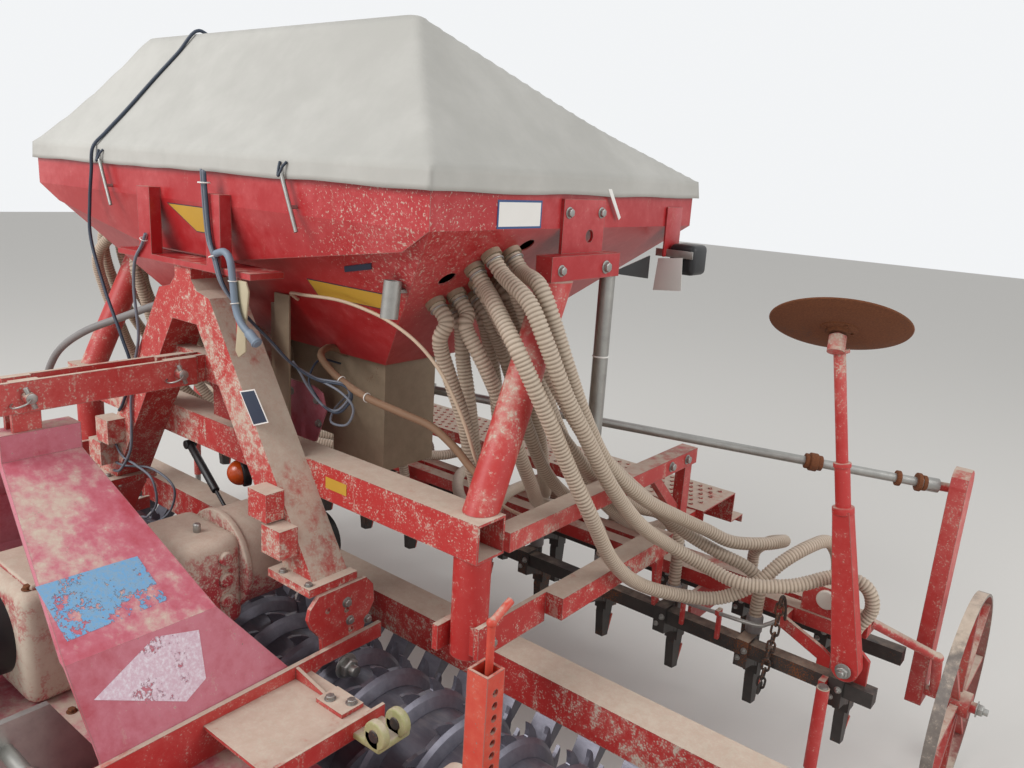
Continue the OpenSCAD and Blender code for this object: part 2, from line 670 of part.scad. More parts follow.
// Packer roller: drum with raised rings, whose teeth stand a little further round each time
module packer_roller() color(steel) placed() translate([0, roller_y, roller_z])
    rotate([0, 90, 0]) {
        cylinder(r = drum_r, h = work_w - 60, center = true, $fn = 96);
        cylinder(d = roller_shaft_d, h = 2 * reach_left, center = true, $fn = 48);
        for (i = [-ring_count : ring_count]) translate([0, 0, i * ring_pitch]) {
            rotate_extrude($fn = 96) polygon([[drum_r - 10, -26], [drum_r + 2, -26],
                [drum_r + 26, -14], [drum_r + 36, -6], [drum_r + 36, 6],
                [drum_r + 26, 14], [drum_r + 2, 26], [drum_r - 10, 26]]);
            rotate(i * 90 / teeth) translate([0, 0, -tooth_w / 2]) linear_extrude(tooth_w)
                for (k = [0 : teeth - 1]) rotate(k * 360 / teeth)
                    polygon([[drum_r + 20, -58], [drum_r + 34, -50], [drum_r + 50, -34],
                        [roller_r - 3, -12], [roller_r, 0], [drum_r + 52, -8],
                        [drum_r + 38, -12], [drum_r + 20, -4]]);
        }
    }

// Roller frame: side plates with the bearings and the beam behind the roller
module packer_frame() color(red) placed() {
    beam_tube(-half_w, half_w, packer_beam_y, packer_beam_z, 6);
    both_sides() difference() {
        side_plate(half_w, half_w + side_t, [[packer_beam_y[1], packer_beam_z[1]],
            [-120, packer_beam_z[1]], [-330, trough_z - 10], [-330, trough_z - 90],
            [-120, 340], [20, 180], [140, 180], [packer_beam_y[1], packer_beam_z[0]]]);
        translate([half_w - 1, roller_y, roller_z]) rotate([0, 90, 0])
            cylinder(d = roller_shaft_d + 2 * run, h = side_t + 2, $fn = 48);
    }
}

// Scrapers between the rings of teeth
module scrapers() color(steel) placed()
    for (i = [-ring_count : ring_count - 1])
        side_plate((i + 0.5) * ring_pitch - 30, (i + 0.5) * ring_pitch + 30,
            [[340, packer_beam_z[0]], [400, packer_beam_z[0]],
                [roller_y + drum_r + clear, roller_z + 8],
                [roller_y + drum_r + clear + 1, roller_z + 20]]);

// Perforated tubes that set the roller's depth, with the handles of their pins
module adjusters() color(red) placed() both_sides() {
    block([1110, trough_y1 - 60, trough_z], [1195, adjuster_y + 35, trough_z + 12]);
    difference() {
        block([1130, adjuster_y - 22, trough_z + 12], [1175, adjuster_y + 22, 830]);
        block([1135, adjuster_y - 17, trough_z + 11], [1170, adjuster_y + 17, 831]);
        for (z = [530 : 24 : 800])
            rod([1120, adjuster_y, z], [1185, adjuster_y, z], 13);
    }
    rod([1152, adjuster_y + 8, 790], [1152, adjuster_y + 8, 910], 14);
    translate([1152, adjuster_y + 8, 910]) sphere(d = 18, $fn = 48);
    rod([1152, adjuster_y + 8, 910], [1152, adjuster_y + 56, 932], 14);
    block([1135, adjuster_y + 3, 780], [1170, adjuster_y + 17, 790]);
}

// Closed trough of the harrow with the bores of the rotor shafts
module trough() color(red) placed() difference() {
    block([-half_w, trough_y0, trough_bottom], [half_w, trough_y1, trough_z]);
    for (i = [1 : rotor_count])
        translate([(i - 0.5) * rotor_pitch - half_w, rotor_y, trough_bottom - 1])
            cylinder(d = rotor_shaft_d + 2 * run, h = 62, $fn = 48);
}

// Folded headstock of the harrow, tapered towards its top
module headstock() color(red) placed() intersection() {
    cross_plate(-600, -50, [[-545, trough_z], [-545, 520], [-470, 700], [-30, 955],
        [-30, 1015], [30, 1015], [30, 955], [470, 700], [545, 520], [545, trough_z],
        [535, trough_z], [535, 520], [462, 692], [20, 945], [-20, 945],
        [-462, 692], [-535, 520], [-535, trough_z]]);
    side_plate(-600, 600, [[-530, trough_z], [-530, 520], [-550, 700], [-470, 955],
        [-470, 1015], [-300, 1015], [-300, 955], [-240, 700], [head_rear, 520],
        [head_rear, trough_z]]);
}

// Ears on the headstock's top for the top link
module headstock_ears() both_sides() difference() {
    block([ear_x[0], link_front - 30, 1015], [ear_x[1], link_front + 30, link_z + 35]);
    rod([0, link_front, link_z], [40, link_front, link_z], link_pin_d + 2 * run);
}

// Rails beside the headstock, the decks on them and the plates for the A-frame's feet
module carrier_rails() color(red) placed() {
    headstock_ears();
    both_sides() {
        side_plate(545, 557, [[trough_y0, trough_z], [trough_y1 - 10, trough_z],
            [-70, 480], [-30, 500], [150, 500], [150, 540], [trough_y0, 520]]);
        difference() {
            side_plate(rail_x[0] - 2, 545, [[-18, 500], [-22, 560], [-48, 592],
                [-60, 620], [-54, 645], [-30, foot_z - foot_t], [110, foot_z - foot_t],
                [132, 645], [136, 600], [112, 560], [96, 520], [96, 500]]);
            for (h = [[-5, 626], [51, 607], [64, 551]])
                rod([500, h[0], h[1]], [600, h[0], h[1]], 14);
        }
        block([557, -330, deck_z], [800, -60, deck_z + 8]);
        block([792, -330, deck_z + 8], [800, -60, deck_z + 42]);
        cross_plate(-104, -96, [[557, deck_z + 8], [557, 530], [655, deck_z + 16],
            [655, deck_z + 8]]);
        block([655, -125, deck_z + 8], [740, -66, deck_z + 18]);
    }
}

// Gearbox of the harrow with its round housing
module gearbox() color(red) placed() {
    block([-130, gear_y[0], trough_z], [130, gear_y[1], 690]);
    block([80, gear_y[1] - 60, 560], [300, -60, 750]);
    rod([housing_x, -60, housing_z], [housing_x, 80, housing_z], 2 * housing_r);
}

// Guard around the input shaft
module pto_guard() color(black) placed()
    tube([0, front_y, 560], [0, gear_y[0], 560], 200, 6);

// Plates with the lower link pins
module hitch_plates() color(steel) placed() both_sides() {
    side_plate(400, 415, [[-700, 480], [-700, 600], [-560, 600], [-460, trough_z],
        [trough_y0, trough_z]]);
    rod([385, -640, 540], [500, -640, 540], hitch_d);
}

// One rotor: shaft, flange and two blades
module rotor(i) color(dark) placed()
    translate([(i - 0.5) * rotor_pitch - half_w, rotor_y, 0]) rotate(i * 40) {
        flange_z = trough_bottom - clear - flange_t;
        translate([0, 0, flange_z]) cylinder(r = rotor_r, h = flange_t, $fn = 96);
        translate([0, 0, flange_z]) cylinder(d = rotor_shaft_d, h = 70, $fn = 48);
        for (a = [0, 180]) rotate(a)
            side_plate(rotor_r - 21, rotor_r - 5, [[-34, flange_z], [34, flange_z],
                [22, 90], [4, tine_z], [-20, 60]]);
    }
module rotor_01() rotor(1);
module rotor_02() rotor(2);
module rotor_03() rotor(3);
module rotor_04() rotor(4);
module rotor_05() rotor(5);
module rotor_06() rotor(6);
module rotor_07() rotor(7);
module rotor_08() rotor(8);
module rotor_09() rotor(9);
module rotor_10() rotor(10);

hopper();
hopper_cover();
cover_hooks();
hopper_posts();
a_frame();
top_bar();
main_beam();
side_frames();
end_brackets();
upper_arms();
lower_arms();
footboard();
coulter_bars();
coulter_rails();
coulters_front();
coulters_rear();
hose_collars();
hoses_right();
hoses_left();
metering_box();
fan();
fan_drive();
air_pipe();
drain_tubes();
lamps();
land_wheel();
wheel_arm();
chain_case();
drive_shaft();
marker_arm_right();
marker_arm_left();
marker_disc_right();
marker_disc_left();
marker_mounts();
stand_sockets();
stand_right();
stand_left();
packer_roller();
packer_frame();
scrapers();
adjusters();
trough();
headstock();
carrier_rails();
gearbox();
pto_guard();
hitch_plates();
rotor_01();
rotor_02();
rotor_03();
rotor_04();
rotor_05();
rotor_06();
rotor_07();
rotor_08();
rotor_09();
rotor_10();
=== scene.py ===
# %% [markdown]
# A seed drill that rides on a power harrow, dressed in Blender.
# The rigid machine is already drawn and packed, so this lesson only adds what a drawing leaves out:
# cloth, hoses, cables, bolts, worn paint, dust and rust.

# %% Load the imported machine
import math

import bpy
import bmesh
from mathutils import Matrix
from mathutils import Vector
from mathutils import noise


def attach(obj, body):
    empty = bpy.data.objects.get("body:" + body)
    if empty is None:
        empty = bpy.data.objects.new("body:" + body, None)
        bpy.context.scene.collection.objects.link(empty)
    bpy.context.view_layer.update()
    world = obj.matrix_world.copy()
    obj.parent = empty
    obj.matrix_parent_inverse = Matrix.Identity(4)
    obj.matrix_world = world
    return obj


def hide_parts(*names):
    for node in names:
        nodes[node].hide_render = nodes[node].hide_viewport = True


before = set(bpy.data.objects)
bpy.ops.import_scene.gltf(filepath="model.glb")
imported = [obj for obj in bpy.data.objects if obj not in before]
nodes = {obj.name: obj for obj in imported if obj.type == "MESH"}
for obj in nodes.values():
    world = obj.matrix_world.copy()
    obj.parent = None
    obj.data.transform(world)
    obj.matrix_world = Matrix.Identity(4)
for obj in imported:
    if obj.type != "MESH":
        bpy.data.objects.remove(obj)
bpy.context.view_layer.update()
bpy.ops.object.select_all(action="DESELECT")

# %% [markdown]
# The drawing measures in millimetres from the middle of the hopper's front rim.
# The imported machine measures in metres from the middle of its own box.
# One small function takes a point of the drawing to its place here, so every number below can be read
# against the drawing.

# %% A point of the drawing as a place in the scene
SHIFT = Vector((-0.090, -0.3525, 0.0))
MIRROR = Matrix.Translation((2 * SHIFT.x, 0, 0)) @ Matrix.Scale(-1, 4, (1, 0, 0))
SIDES = ((1, "right"), (-1, "left"))
RIGHT = (1, 0, 0)
FRONT = (0, -1, 0)
REAR = (0, 1, 0)
UP = (0, 0, 1)


def at(x, y, z):
    return Vector((x, y, z)) / 1000 + SHIFT


def mirrored(point):
    """The same place on the other side of the machine."""
    return Vector((2 * SHIFT.x - point.x, point.y, point.z))


def added(name, data):
    """A new object of the scene that shows this data."""
    piece = bpy.data.objects.new(name, data)
    bpy.context.scene.collection.objects.link(piece)
    return piece


print("front rim", tuple(round(v, 3) for v in at(0, 0, 1602)))

# %% [markdown]
# The camera stands in front of the right-hand end, a little above the hopper's rim, and looks down and
# back. It is set before anything is made, because cords are judged by what the camera sees of them.
# A photograph that is held slightly askew has a roll, so the camera's own axes are built from three angles.

# %% Camera
PICTURE_WIDTH = 1024
FOCAL_PIXELS = 840
EYE = (1925, -1124, 1627)
camera_data = bpy.data.cameras.new("camera")
camera_data.lens = camera_data.sensor_width * FOCAL_PIXELS / PICTURE_WIDTH
camera = added("camera", camera_data)
bpy.context.scene.camera = camera
turn = math.radians(38.3)
pitch = math.radians(14.2)
roll = math.radians(3.5)
ahead = Vector((-math.sin(turn) * math.cos(pitch), math.cos(turn) * math.cos(pitch), -math.sin(pitch)))
level = Vector((math.cos(turn), math.sin(turn), 0))
upright = level.cross(ahead)
side = level * math.cos(roll) + upright * math.sin(roll)
top = upright * math.cos(roll) - level * math.sin(roll)
view = Matrix((side, top, -ahead)).transposed().to_4x4()
view.translation = at(*EYE)
camera.matrix_world = view
print("camera at", tuple(round(v, 3) for v in camera.location))

# %% [markdown]
# A seed hose is a ribbed plastic tube of 36 mm that carries grain on a stream of air. It is too stiff to
# kink and too heavy to stand up, so it leaves its collar straight, falls, and lies over the arms before it
# turns down into its coulter. A smooth curve through a few given places gives that line: each
# stretch between two places is a Catmull-Rom curve, which passes through every one of them.

# %% Smooth line through a few places
def smooth_line(places, step):
    """Points about step metres apart on the curve through the places."""
    line = []
    last = len(places) - 1
    for i in range(last):
        before = places[max(i - 1, 0)]
        start = places[i]
        end = places[i + 1]
        after = places[min(i + 2, last)]
        count = max(2, round((end - start).length / step))
        for j in range(count):
            t = j / count
            line.append(0.5 * ((2 * start) + (end - before) * t
                        + (2 * before - 5 * start + 4 * end - after) * t * t
                        + (3 * start - before - 3 * end + after) * t * t * t))
    line.append(places[-1].copy())
    return line


def length_of(line):
    return sum((b - a).length for a, b in zip(line, line[1:]))


# %% [markdown]
# A tube is a row of rings along a line. Each ring takes its sideways direction from the ring before,
# turned only as far as the line turns, so the tube never twists. The radius may change from ring to ring,
# and that is all it takes to make ribs. A point attribute keeps which rings lie in a groove, for the painted
# shade.

# %% Tube along a line
def tube_along(name, line, radii, sides, depths=None):
    mesh = bpy.data.meshes.new(name)
    work = bmesh.new()
    layer = work.verts.layers.float.new("groove")
    rings = []
    way = (line[1] - line[0]).normalized()
    across = way.orthogonal().normalized()
    for i, point in enumerate(line):
        ahead_point = line[min(i + 1, len(line) - 1)]
        behind_point = line[max(i - 1, 0)]
        new_way = (ahead_point - behind_point).normalized()
        across = (way.rotation_difference(new_way) @ across).normalized()
        way = new_way
        other = way.cross(across)
        ring = []
        for k in range(sides):
            angle = 2 * math.pi * k / sides
            place = point + radii[i] * (math.cos(angle) * across + math.sin(angle) * other)
            vert = work.verts.new(place)
            vert[layer] = depths[i] if depths else 0.0
            ring.append(vert)
        rings.append(ring)
    for first, second in zip(rings, rings[1:]):
        for k in range(sides):
            n = (k + 1) % sides
            work.faces.new((first[k], first[n], second[n], second[k]))
    work.faces.new(tuple(reversed(rings[0])))
    work.faces.new(tuple(rings[-1]))
    for face in work.faces:
        face.smooth = len(face.verts) == 4
    work.to_mesh(mesh)
    work.free()
    return added(name, mesh)


# %% [markdown]
# The hoses leave collars on the hopper's sloping end. The first places of each route follow from the
# collar: the hose starts on it and goes straight out of the panel. The other places are the drawing's own.

# %% Routes of the seed hoses on the right-hand side
HOPPER_X = 822
FOLD_Z = 1510
FUNNEL_X = 430
FUNNEL_Z = 1145
PANEL_SLOPE = (HOPPER_X - FUNNEL_X) / (FOLD_Z - FUNNEL_Z)
PANEL_OUT = Vector((1, 0, -PANEL_SLOPE)).normalized()
HOSE = 0.036
COLLAR = 12
COULTER_TOP = 472
HOSE_ROUTES = [
    ((764, 244), [(890, 225, 1370), (935, 235, 1290), (965, 275, 1180), (990, 330, 1080), (1010, 420, 950),
        (1015, 560, 820), (1030, 700, 725), (1100, 765, 672), (1202, 775, 655), (1304, 835, 665),
        (1385, 924, 688), (1450, 945, 678), (1472, 955, 620), (1446, 944, 560), (1437.5, 942, 510)]),
    ((729, 232), [(830, 205, 1340), (900, 195, 1263), (945, 240, 1139), (970, 290, 1030), (1000, 355, 900),
        (1000, 470, 750), (1003, 610, 640), (1060, 730, 585), (1136, 800, 580), (1205, 850, 625),
        (1250, 915, 685), (1285, 1000, 712), (1303, 1090, 702), (1311, 1165, 640), (1312.5, 1202, 555)]),
    ((766, 308), [(880, 270, 1400), (915, 280, 1330), (940, 310, 1230), (955, 370, 1110), (970, 460, 985),
        (1000, 590, 875), (1025, 740, 790), (1060, 840, 735), (1110, 900, 698), (1165, 985, 683),
        (1186, 1060, 672), (1168, 1135, 645), (1110, 1185, 605), (1068, 1200, 560), (1062.5, 1202, 515)]),
    ((725, 330), [(797, 396, 1232), (850, 450, 1100), (890, 500, 1010), (925, 570, 932), (960, 660, 850),
        (966, 780, 765), (1010, 850, 700), (1080, 890, 660), (1150, 925, 630), (1186, 941, 590),
        (1187.5, 942, 520)]),
    ((690, 290), [(764, 350, 1230), (800, 430, 1080), (840, 530, 950), (850, 640, 850), (850, 760, 780),
        (865, 840, 735), (888, 890, 716), (914, 926, 678), (934, 944, 615), (937.5, 942, 530)]),
    ((690, 360), [(752, 436, 1200), (785, 500, 1040), (795, 600, 900), (803, 720, 775), (808, 850, 680),
        (810, 980, 615), (812, 1080, 598), (812, 1160, 582), (812.5, 1202, 530)]),
    ((650, 330), [(697, 352, 1265), (705, 400, 1180), (720, 480, 1000), (715, 580, 860), (705, 720, 745),
        (692, 850, 655), (688, 925, 575), (687.5, 942, 520)]),
    ((656, 258), [(705, 245, 1284), (745, 270, 1200), (765, 310, 1110), (775, 370, 990), (760, 450, 880),
        (700, 570, 780), (625, 740, 700), (575, 900, 635), (563, 1020, 602), (562, 1100, 598),
        (562, 1165, 580), (562.5, 1202, 530)]),
    ((637, 212), [(665, 205, 1250), (675, 235, 1160), (690, 270, 1060), (690, 310, 930), (660, 390, 800),
        (580, 520, 715), (470, 680, 665), (370, 860, 630), (320, 1010, 603), (312, 1100, 598),
        (312, 1165, 580), (312.5, 1202, 530)]),
    ((610, 290), [(650, 300, 1200), (660, 320, 1080), (650, 360, 930), (600, 430, 790), (480, 540, 700),
        (300, 700, 655), (150, 870, 625), (80, 1010, 603), (64, 1100, 598), (62, 1165, 580),
        (62.5, 1202, 530)]),
    ((612, 372), [(645, 420, 1150), (630, 480, 970), (570, 580, 815), (430, 740, 725), (290, 860, 660),
        (205, 925, 585), (187.5, 942, 520)]),
    ((650, 410), [(696, 430, 1262), (700, 480, 1170), (695, 560, 970), (650, 660, 810), (565, 790, 715),
        (490, 885, 640), (445, 935, 560), (437.5, 942, 520)]),
]


def hose_places(collar, points):
    """The whole route: out of its collar, through the points and down into the coulter."""
    x, y = collar
    seat = Vector((x, y, FUNNEL_Z + (x - FUNNEL_X) / PANEL_SLOPE))
    end = (*points[-1][:2], COULTER_TOP)
    places = [seat + COLLAR * PANEL_OUT, seat + (COLLAR + 45) * PANEL_OUT, *points, end]
    return [at(*place) for place in places]


print("hose routes", len(HOSE_ROUTES), "a side")

# %% [markdown]
# Ribs follow each other every nine millimetres. Three rings make one rib, two on its crown and one in the
# groove, which is the least that reads as a round rib. Each hose is attached to the frame, and both ends go
# back into the machine: one into the collar and one into the coulter.

# %% Seed hoses
RIB = 0.009
GROOVE = 0.0024


def seed_hose(name, places, node):
    line = smooth_line(places, RIB / 3)
    depths = [1.0 if i % 3 == 0 and 3 < i < len(line) - 4 else 0.0 for i in range(len(line))]
    radii = [HOSE / 2 - GROOVE * depth for depth in depths]
    hose = tube_along(name, line, radii, 12, depths)
    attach(hose, "frame")
    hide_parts(node)
    length_of(line)
    return hose


hoses = []
for i, (collar, points) in enumerate(HOSE_ROUTES):
    route = hose_places(collar, points)
    hoses.append(seed_hose(f"seed_hose_right_{i + 1:02d}", route, "hoses_right"))
    hoses.append(seed_hose(f"seed_hose_left_{i + 1:02d}", [mirrored(p) for p in route], "hoses_left"))
print("seed hoses", len(hoses), "points", sum(len(hose.data.vertices) for hose in hoses))

# %% [markdown]
# Old farm machinery is faded red paint, chipped at its edges, with dust that has settled on everything
# that faces up. Each finish below is a small sum: a base colour, a patchy fade, chips that show the metal,
# and dust by slope. Written node by node such a sum can't be read, so one class wraps a socket and lets
# the shader maths be written as plain expressions.

# %% Shader maths as expressions
class Wire:
    """A socket of a material. Sums of wires and numbers make maths nodes."""

    def __init__(self, finish, socket):
        self.finish = finish
        self.socket = socket

    def maths(self, operation, first, second):
        return self.finish.node("ShaderNodeMath", {"operation": operation}, {0: first, 1: second})

    def __add__(self, other):
        return self.maths("ADD", self, other)

    def __sub__(self, other):
        return self.maths("SUBTRACT", self, other)

    def __rsub__(self, other):
        return self.maths("SUBTRACT", other, self)

    def __mul__(self, other):
        return self.maths("MULTIPLY", self, other)

    __radd__ = __add__
    __rmul__ = __mul__

    def held(self):
        """The same value, kept between 0 and 1."""
        return self.finish.node("ShaderNodeClamp", {}, {0: self})

    def step(self, low, high):
        """0 below low and 1 above high, with a soft rise between them."""
        return self.finish.node("ShaderNodeMapRange", {"interpolation_type": "SMOOTHSTEP"},
                                {0: self, 1: low, 2: high})


def tint(code):
    """A colour as it is seen on a screen, such as b3282d, in Blender's linear numbers."""
    parts = [int(code[i:i + 2], 16) / 255 for i in (0, 2, 4)]
    return tuple(p / 12.92 if p <= 0.04045 else ((p + 0.055) / 1.055) ** 2.4 for p in parts) + (1.0,)


class Finish:
    """One material, with the places and slopes that every finish here starts from."""

    def __init__(self, name, specular=0.5):
        self.material = bpy.data.materials.new(name)
        self.material.use_nodes = True
        self.tree = self.material.node_tree
        self.shader = self.tree.nodes["Principled BSDF"]
        self.place = self.node("ShaderNodeTexCoord", {}, {}, "Object")
        self.use(Specular_IOR_Level=specular)

    def feed(self, socket, value):
        """Links a wire to a socket, or sets a number on it."""
        if isinstance(value, Wire):
            self.tree.links.new(value.socket, socket)
        else:
            socket.default_value = value

    def node(self, kind, settings, values, out=0):
        made = self.tree.nodes.new(kind)
        for key, value in settings.items():
            setattr(made, key, value)
        for key, value in values.items():
            self.feed(made.inputs[key], value)
        return Wire(self, made.outputs[out])

    def use(self, **values):
        """Feeds the shader's own sockets, named with underscores for spaces."""
        for key, value in values.items():
            self.feed(self.shader.inputs[key.replace("_", " ")], value)
        return self.material

    def noise(self, scale, detail, rough, place=None):
        return self.node("ShaderNodeTexNoise", {}, {"Vector": place or self.place, "Scale": scale,
                                                    "Detail": detail, "Roughness": rough})

    def stretched(self, scale):
        """The place with each axis scaled on its own, for streaks and grain."""
        return self.node("ShaderNodeMapping", {}, {"Vector": self.place, "Scale": scale})

    def away(self, place, centre):
        """How far a place lies from the centre."""
        return self.node("ShaderNodeVectorMath", {"operation": "DISTANCE"}, {0: place, 1: centre}, "Value")

    def mix(self, amount, low, high):
        return self.node("ShaderNodeMix", {"data_type": "RGBA"}, {0: amount, 6: low, 7: high}, 2)

    def upward(self):
        """How far the surface faces up, from -1 to 1."""
        normal = self.node("ShaderNodeNewGeometry", {}, {}, "Normal")
        return self.node("ShaderNodeSeparateXYZ", {}, {0: normal}, 2)

    def edges(self, radius):
        """1 along sharp edges and 0 on flat faces."""
        plain = self.node("ShaderNodeNewGeometry", {}, {}, "Normal")
        soft = self.node("ShaderNodeBevel", {"samples": 4}, {"Radius": radius})
        same = self.node("ShaderNodeVectorMath", {"operation": "DOT_PRODUCT"}, {0: plain, 1: soft}, "Value")
        return (1 - same) * 6

    def bump(self, height, strength, distance):
        values = {"Height": height, "Strength": strength, "Distance": distance}
        self.use(Normal=self.node("ShaderNodeBump", {}, values))


print("finish class ready")

# %% [markdown]
# Paint first. Fresh red shows where it was sheltered, a chalky pink where the sun and rain reached it.
# Chips follow the edges and a few scratches, and under them lies grey primer with brown rust. Dust is a
# layer of its own: it hides the colour, kills the gloss and lies thickest where the surface faces up.
# Drops of old slurry may lie round one place, and a wheel's rim is worn bare by the ground.

# %% Worn red paint
DUST = tint("b3a290")
CHIP = tint("6a4a3c")


def worn_paint(name, fresh, faded, fade, dust, chips, rough, splash=None, rim=None):
    paint = Finish(name)
    broad = paint.noise(3.2, 6.0, 0.6)
    fine = paint.noise(38.0, 5.0, 0.65)
    specks = paint.noise(210.0, 2.0, 0.5)
    fading = (broad * 0.75 + fine * 0.35).step(0.62 - 0.3 * fade, 0.92 - 0.3 * fade)
    colour = paint.mix(fading, tint(fresh), tint(faded))
    worn = (paint.edges(0.004) + fine * 1.1).step(1.62 - 0.9 * chips, 1.85 - 0.9 * chips)
    pits = (specks * 0.7 + broad * 0.5).step(0.86 - 0.16 * chips, 0.9 - 0.16 * chips)
    bare = (worn + pits).held()
    colour = paint.mix(bare, colour, paint.mix(fine, tint("8c7f78"), CHIP))
    if rim:
        axle, radius = rim
        flat = paint.node("ShaderNodeVectorMath", {"operation": "MULTIPLY"}, {0: paint.place, 1: (0, 1, 1)})
        outer = paint.away(flat, axle).step(radius - 0.006, radius)
        colour = paint.mix(outer, colour, paint.mix(fine, tint("4f4743"), tint("968d84")))
    streaks = paint.noise(1.0, 5.0, 0.7, paint.stretched((26.0, 26.0, 5.0)))
    settled = (paint.upward() * 0.5 + broad * 1.3 + fine * 0.6).step(1.62 - 0.5 * dust, 1.92 - 0.5 * dust)
    spray = (specks * 0.55 + fine * 0.45 + broad * 0.3).step(0.8 - 0.1 * dust, 0.9 - 0.1 * dust)
    scuffs = (streaks * 0.8 + specks * 0.3).step(0.68 - 0.06 * dust, 0.78 - 0.06 * dust)
    cover = (settled * 0.92 + spray * 0.5 * dust + scuffs * 0.4 * dust).held()
    if splash:
        near = 1 - paint.away(paint.place, splash).step(0.05, 0.6)
        drops = paint.noise(150.0, 3.0, 0.7) * 0.8 + near * 0.15
        cover = (cover + drops.step(0.59, 0.66) * 0.75).held()
    colour = paint.mix(cover, colour, paint.mix(fine, DUST, tint("ccbeae")))
    paint.bump(fine * 0.4 + specks * 0.2 - bare * 0.5 + cover * 0.3, 0.35, 0.0015)
    return paint.use(Base_Color=colour, Roughness=(rough + cover * 0.45 + bare * 0.2).held())


SPLASH = tuple(at(700, 20, 1450))
WHEEL = (1710, 1240, 305)
WHEEL_AXLE = at(*WHEEL) * Vector((0, 1, 1))
hopper_paint = worn_paint("hopper_paint", "a51e22", "ba4b4c", 0.6, 0.42, 0.35, 0.33, SPLASH)
frame_paint = worn_paint("frame_paint", "b22e2b", "c25d57", 0.6, 1.0, 0.6, 0.45)
beam_paint = worn_paint("beam_paint", "b22e2b", "c25d57", 0.6, 1.35, 0.6, 0.5)
harrow_paint = worn_paint("harrow_paint", "a93746", "c07280", 0.95, 0.56, 0.6, 0.5)
shaded_paint = worn_paint("shaded_paint", "932222", "a84a47", 0.35, 1.3, 0.6, 0.55)
casting_paint = worn_paint("casting_paint", "a8353a", "b96a70", 0.7, 1.7, 0.5, 0.6)
orange_paint = worn_paint("orange_paint", "bf3d2b", "c9604a", 0.4, 0.5, 0.7, 0.45)
wheel_paint = worn_paint("wheel_paint", "a02c26", "b25a50", 0.6, 0.9, 1.0, 0.5, None, (WHEEL_AXLE, 0.3))
print("paints", 8)

# %% [markdown]
# Metals without paint: zinc on tubes and rods, dark mill scale on the coulter bars, steel that soil has
# polished on the roller's teeth, and plain rust on the marker discs. Each is a grey or brown with its own
# grain, and dust lies on it as on the paint.

# %% Bare and rusty metals
def bare_metal(name, light, dark, metal, rough, rust, dust, grain=(30.0, 30.0, 30.0)):
    steel = Finish(name)
    broad = steel.noise(5.0, 5.0, 0.6)
    fine = steel.noise(1.0, 5.0, 0.65, steel.stretched(grain))
    specks = steel.noise(260.0, 2.0, 0.5)
    colour = steel.mix(fine, tint(dark), tint(light))
    spots = (broad * 0.8 + specks * 0.5).step(0.86 - 0.45 * rust, 1.0 - 0.45 * rust)
    brown = steel.mix(specks, tint("4a2a1c"), tint("8a5433"))
    colour = steel.mix(spots, colour, brown)
    settled = (steel.upward() * 0.5 + broad * 0.6 + fine * 0.3).step(1.15 - 0.6 * dust, 1.5 - 0.6 * dust)
    colour = steel.mix(settled * 0.85, colour, DUST)
    steel.bump(fine * 0.5 + spots * 0.6 + specks * 0.3, 0.3, 0.001)
    return steel.use(Base_Color=colour, Metallic=(metal * (1 - spots) * (1 - settled)).held(),
                     Roughness=(rough + spots * 0.4 + settled * 0.4).held())


zinc = bare_metal("zinc", "b4b3ae", "85837f", 0.8, 0.42, 0.1, 0.3)
dark_steel = bare_metal("dark_steel", "4c4744", "2b2826", 0.3, 0.55, 0.35, 0.55)
soil_polished = bare_metal("soil_polished", "7d7b84", "55545f", 0.55, 0.38, 0.1, 0.35, (18.0, 60.0, 60.0))
rust_plate = bare_metal("rust_plate", "6d4a36", "46302a", 0.15, 0.75, 0.95, 0.1)
dull_sheet = bare_metal("dull_sheet", "a18f78", "7c6b57", 0.1, 0.6, 0.12, 0.8)
print("metals", 5)

# %% [markdown]
# Plastics and cloth. The hoses are a beige plastic with painted shade, a dark brown, in their grooves, which
# the groove attribute marks. The cover is coated canvas: nearly smooth, with a fine weave under the coating,
# and a little darker where hands and rain have marked it.

# %% Plastics, rubber and canvas
def plastic(name, colour, shade, rough, dust=0.3, specular=0.4):
    made = Finish(name, specular)
    broad = made.noise(6.0, 4.0, 0.6)
    fine = made.noise(90.0, 3.0, 0.6)
    base = made.mix(broad, tint(shade), tint(colour))
    settled = (made.upward() * 0.5 + broad * 0.5 + fine * 0.3).step(1.1 - 0.6 * dust, 1.5 - 0.6 * dust)
    base = made.mix(settled * 0.8, base, DUST)
    made.bump(fine, 0.15, 0.0006)
    return made.use(Base_Color=base, Roughness=(rough + settled * 0.35).held())


black_plastic = plastic("black_plastic", "2a2a2c", "1a1a1b", 0.42, 0.45)
grey_rubber = plastic("grey_rubber", "8f8c8a", "747170", 0.5, 0.3)
white_plate = plastic("white_plate", "e9e7e2", "d8d5cf", 0.35, 0.05)
blue_plate = plastic("blue_plate", "3d5a8c", "2f466e", 0.4, 0.1)
yellow_plate = plastic("yellow_plate", "c9a23c", "b58a2e", 0.5, 0.35)
cream_plastic = plastic("cream_plastic", "c8bda0", "a99d82", 0.5, 0.4)
cap_plastic = plastic("cap_plastic", "e4e0d6", "cfcabd", 0.4, 0.15)
blue_grey = plastic("blue_grey", "8796a6", "66727f", 0.5, 0.35)
orange_lens = plastic("orange_lens", "d0561c", "a83c12", 0.25, 0.2, 0.6)

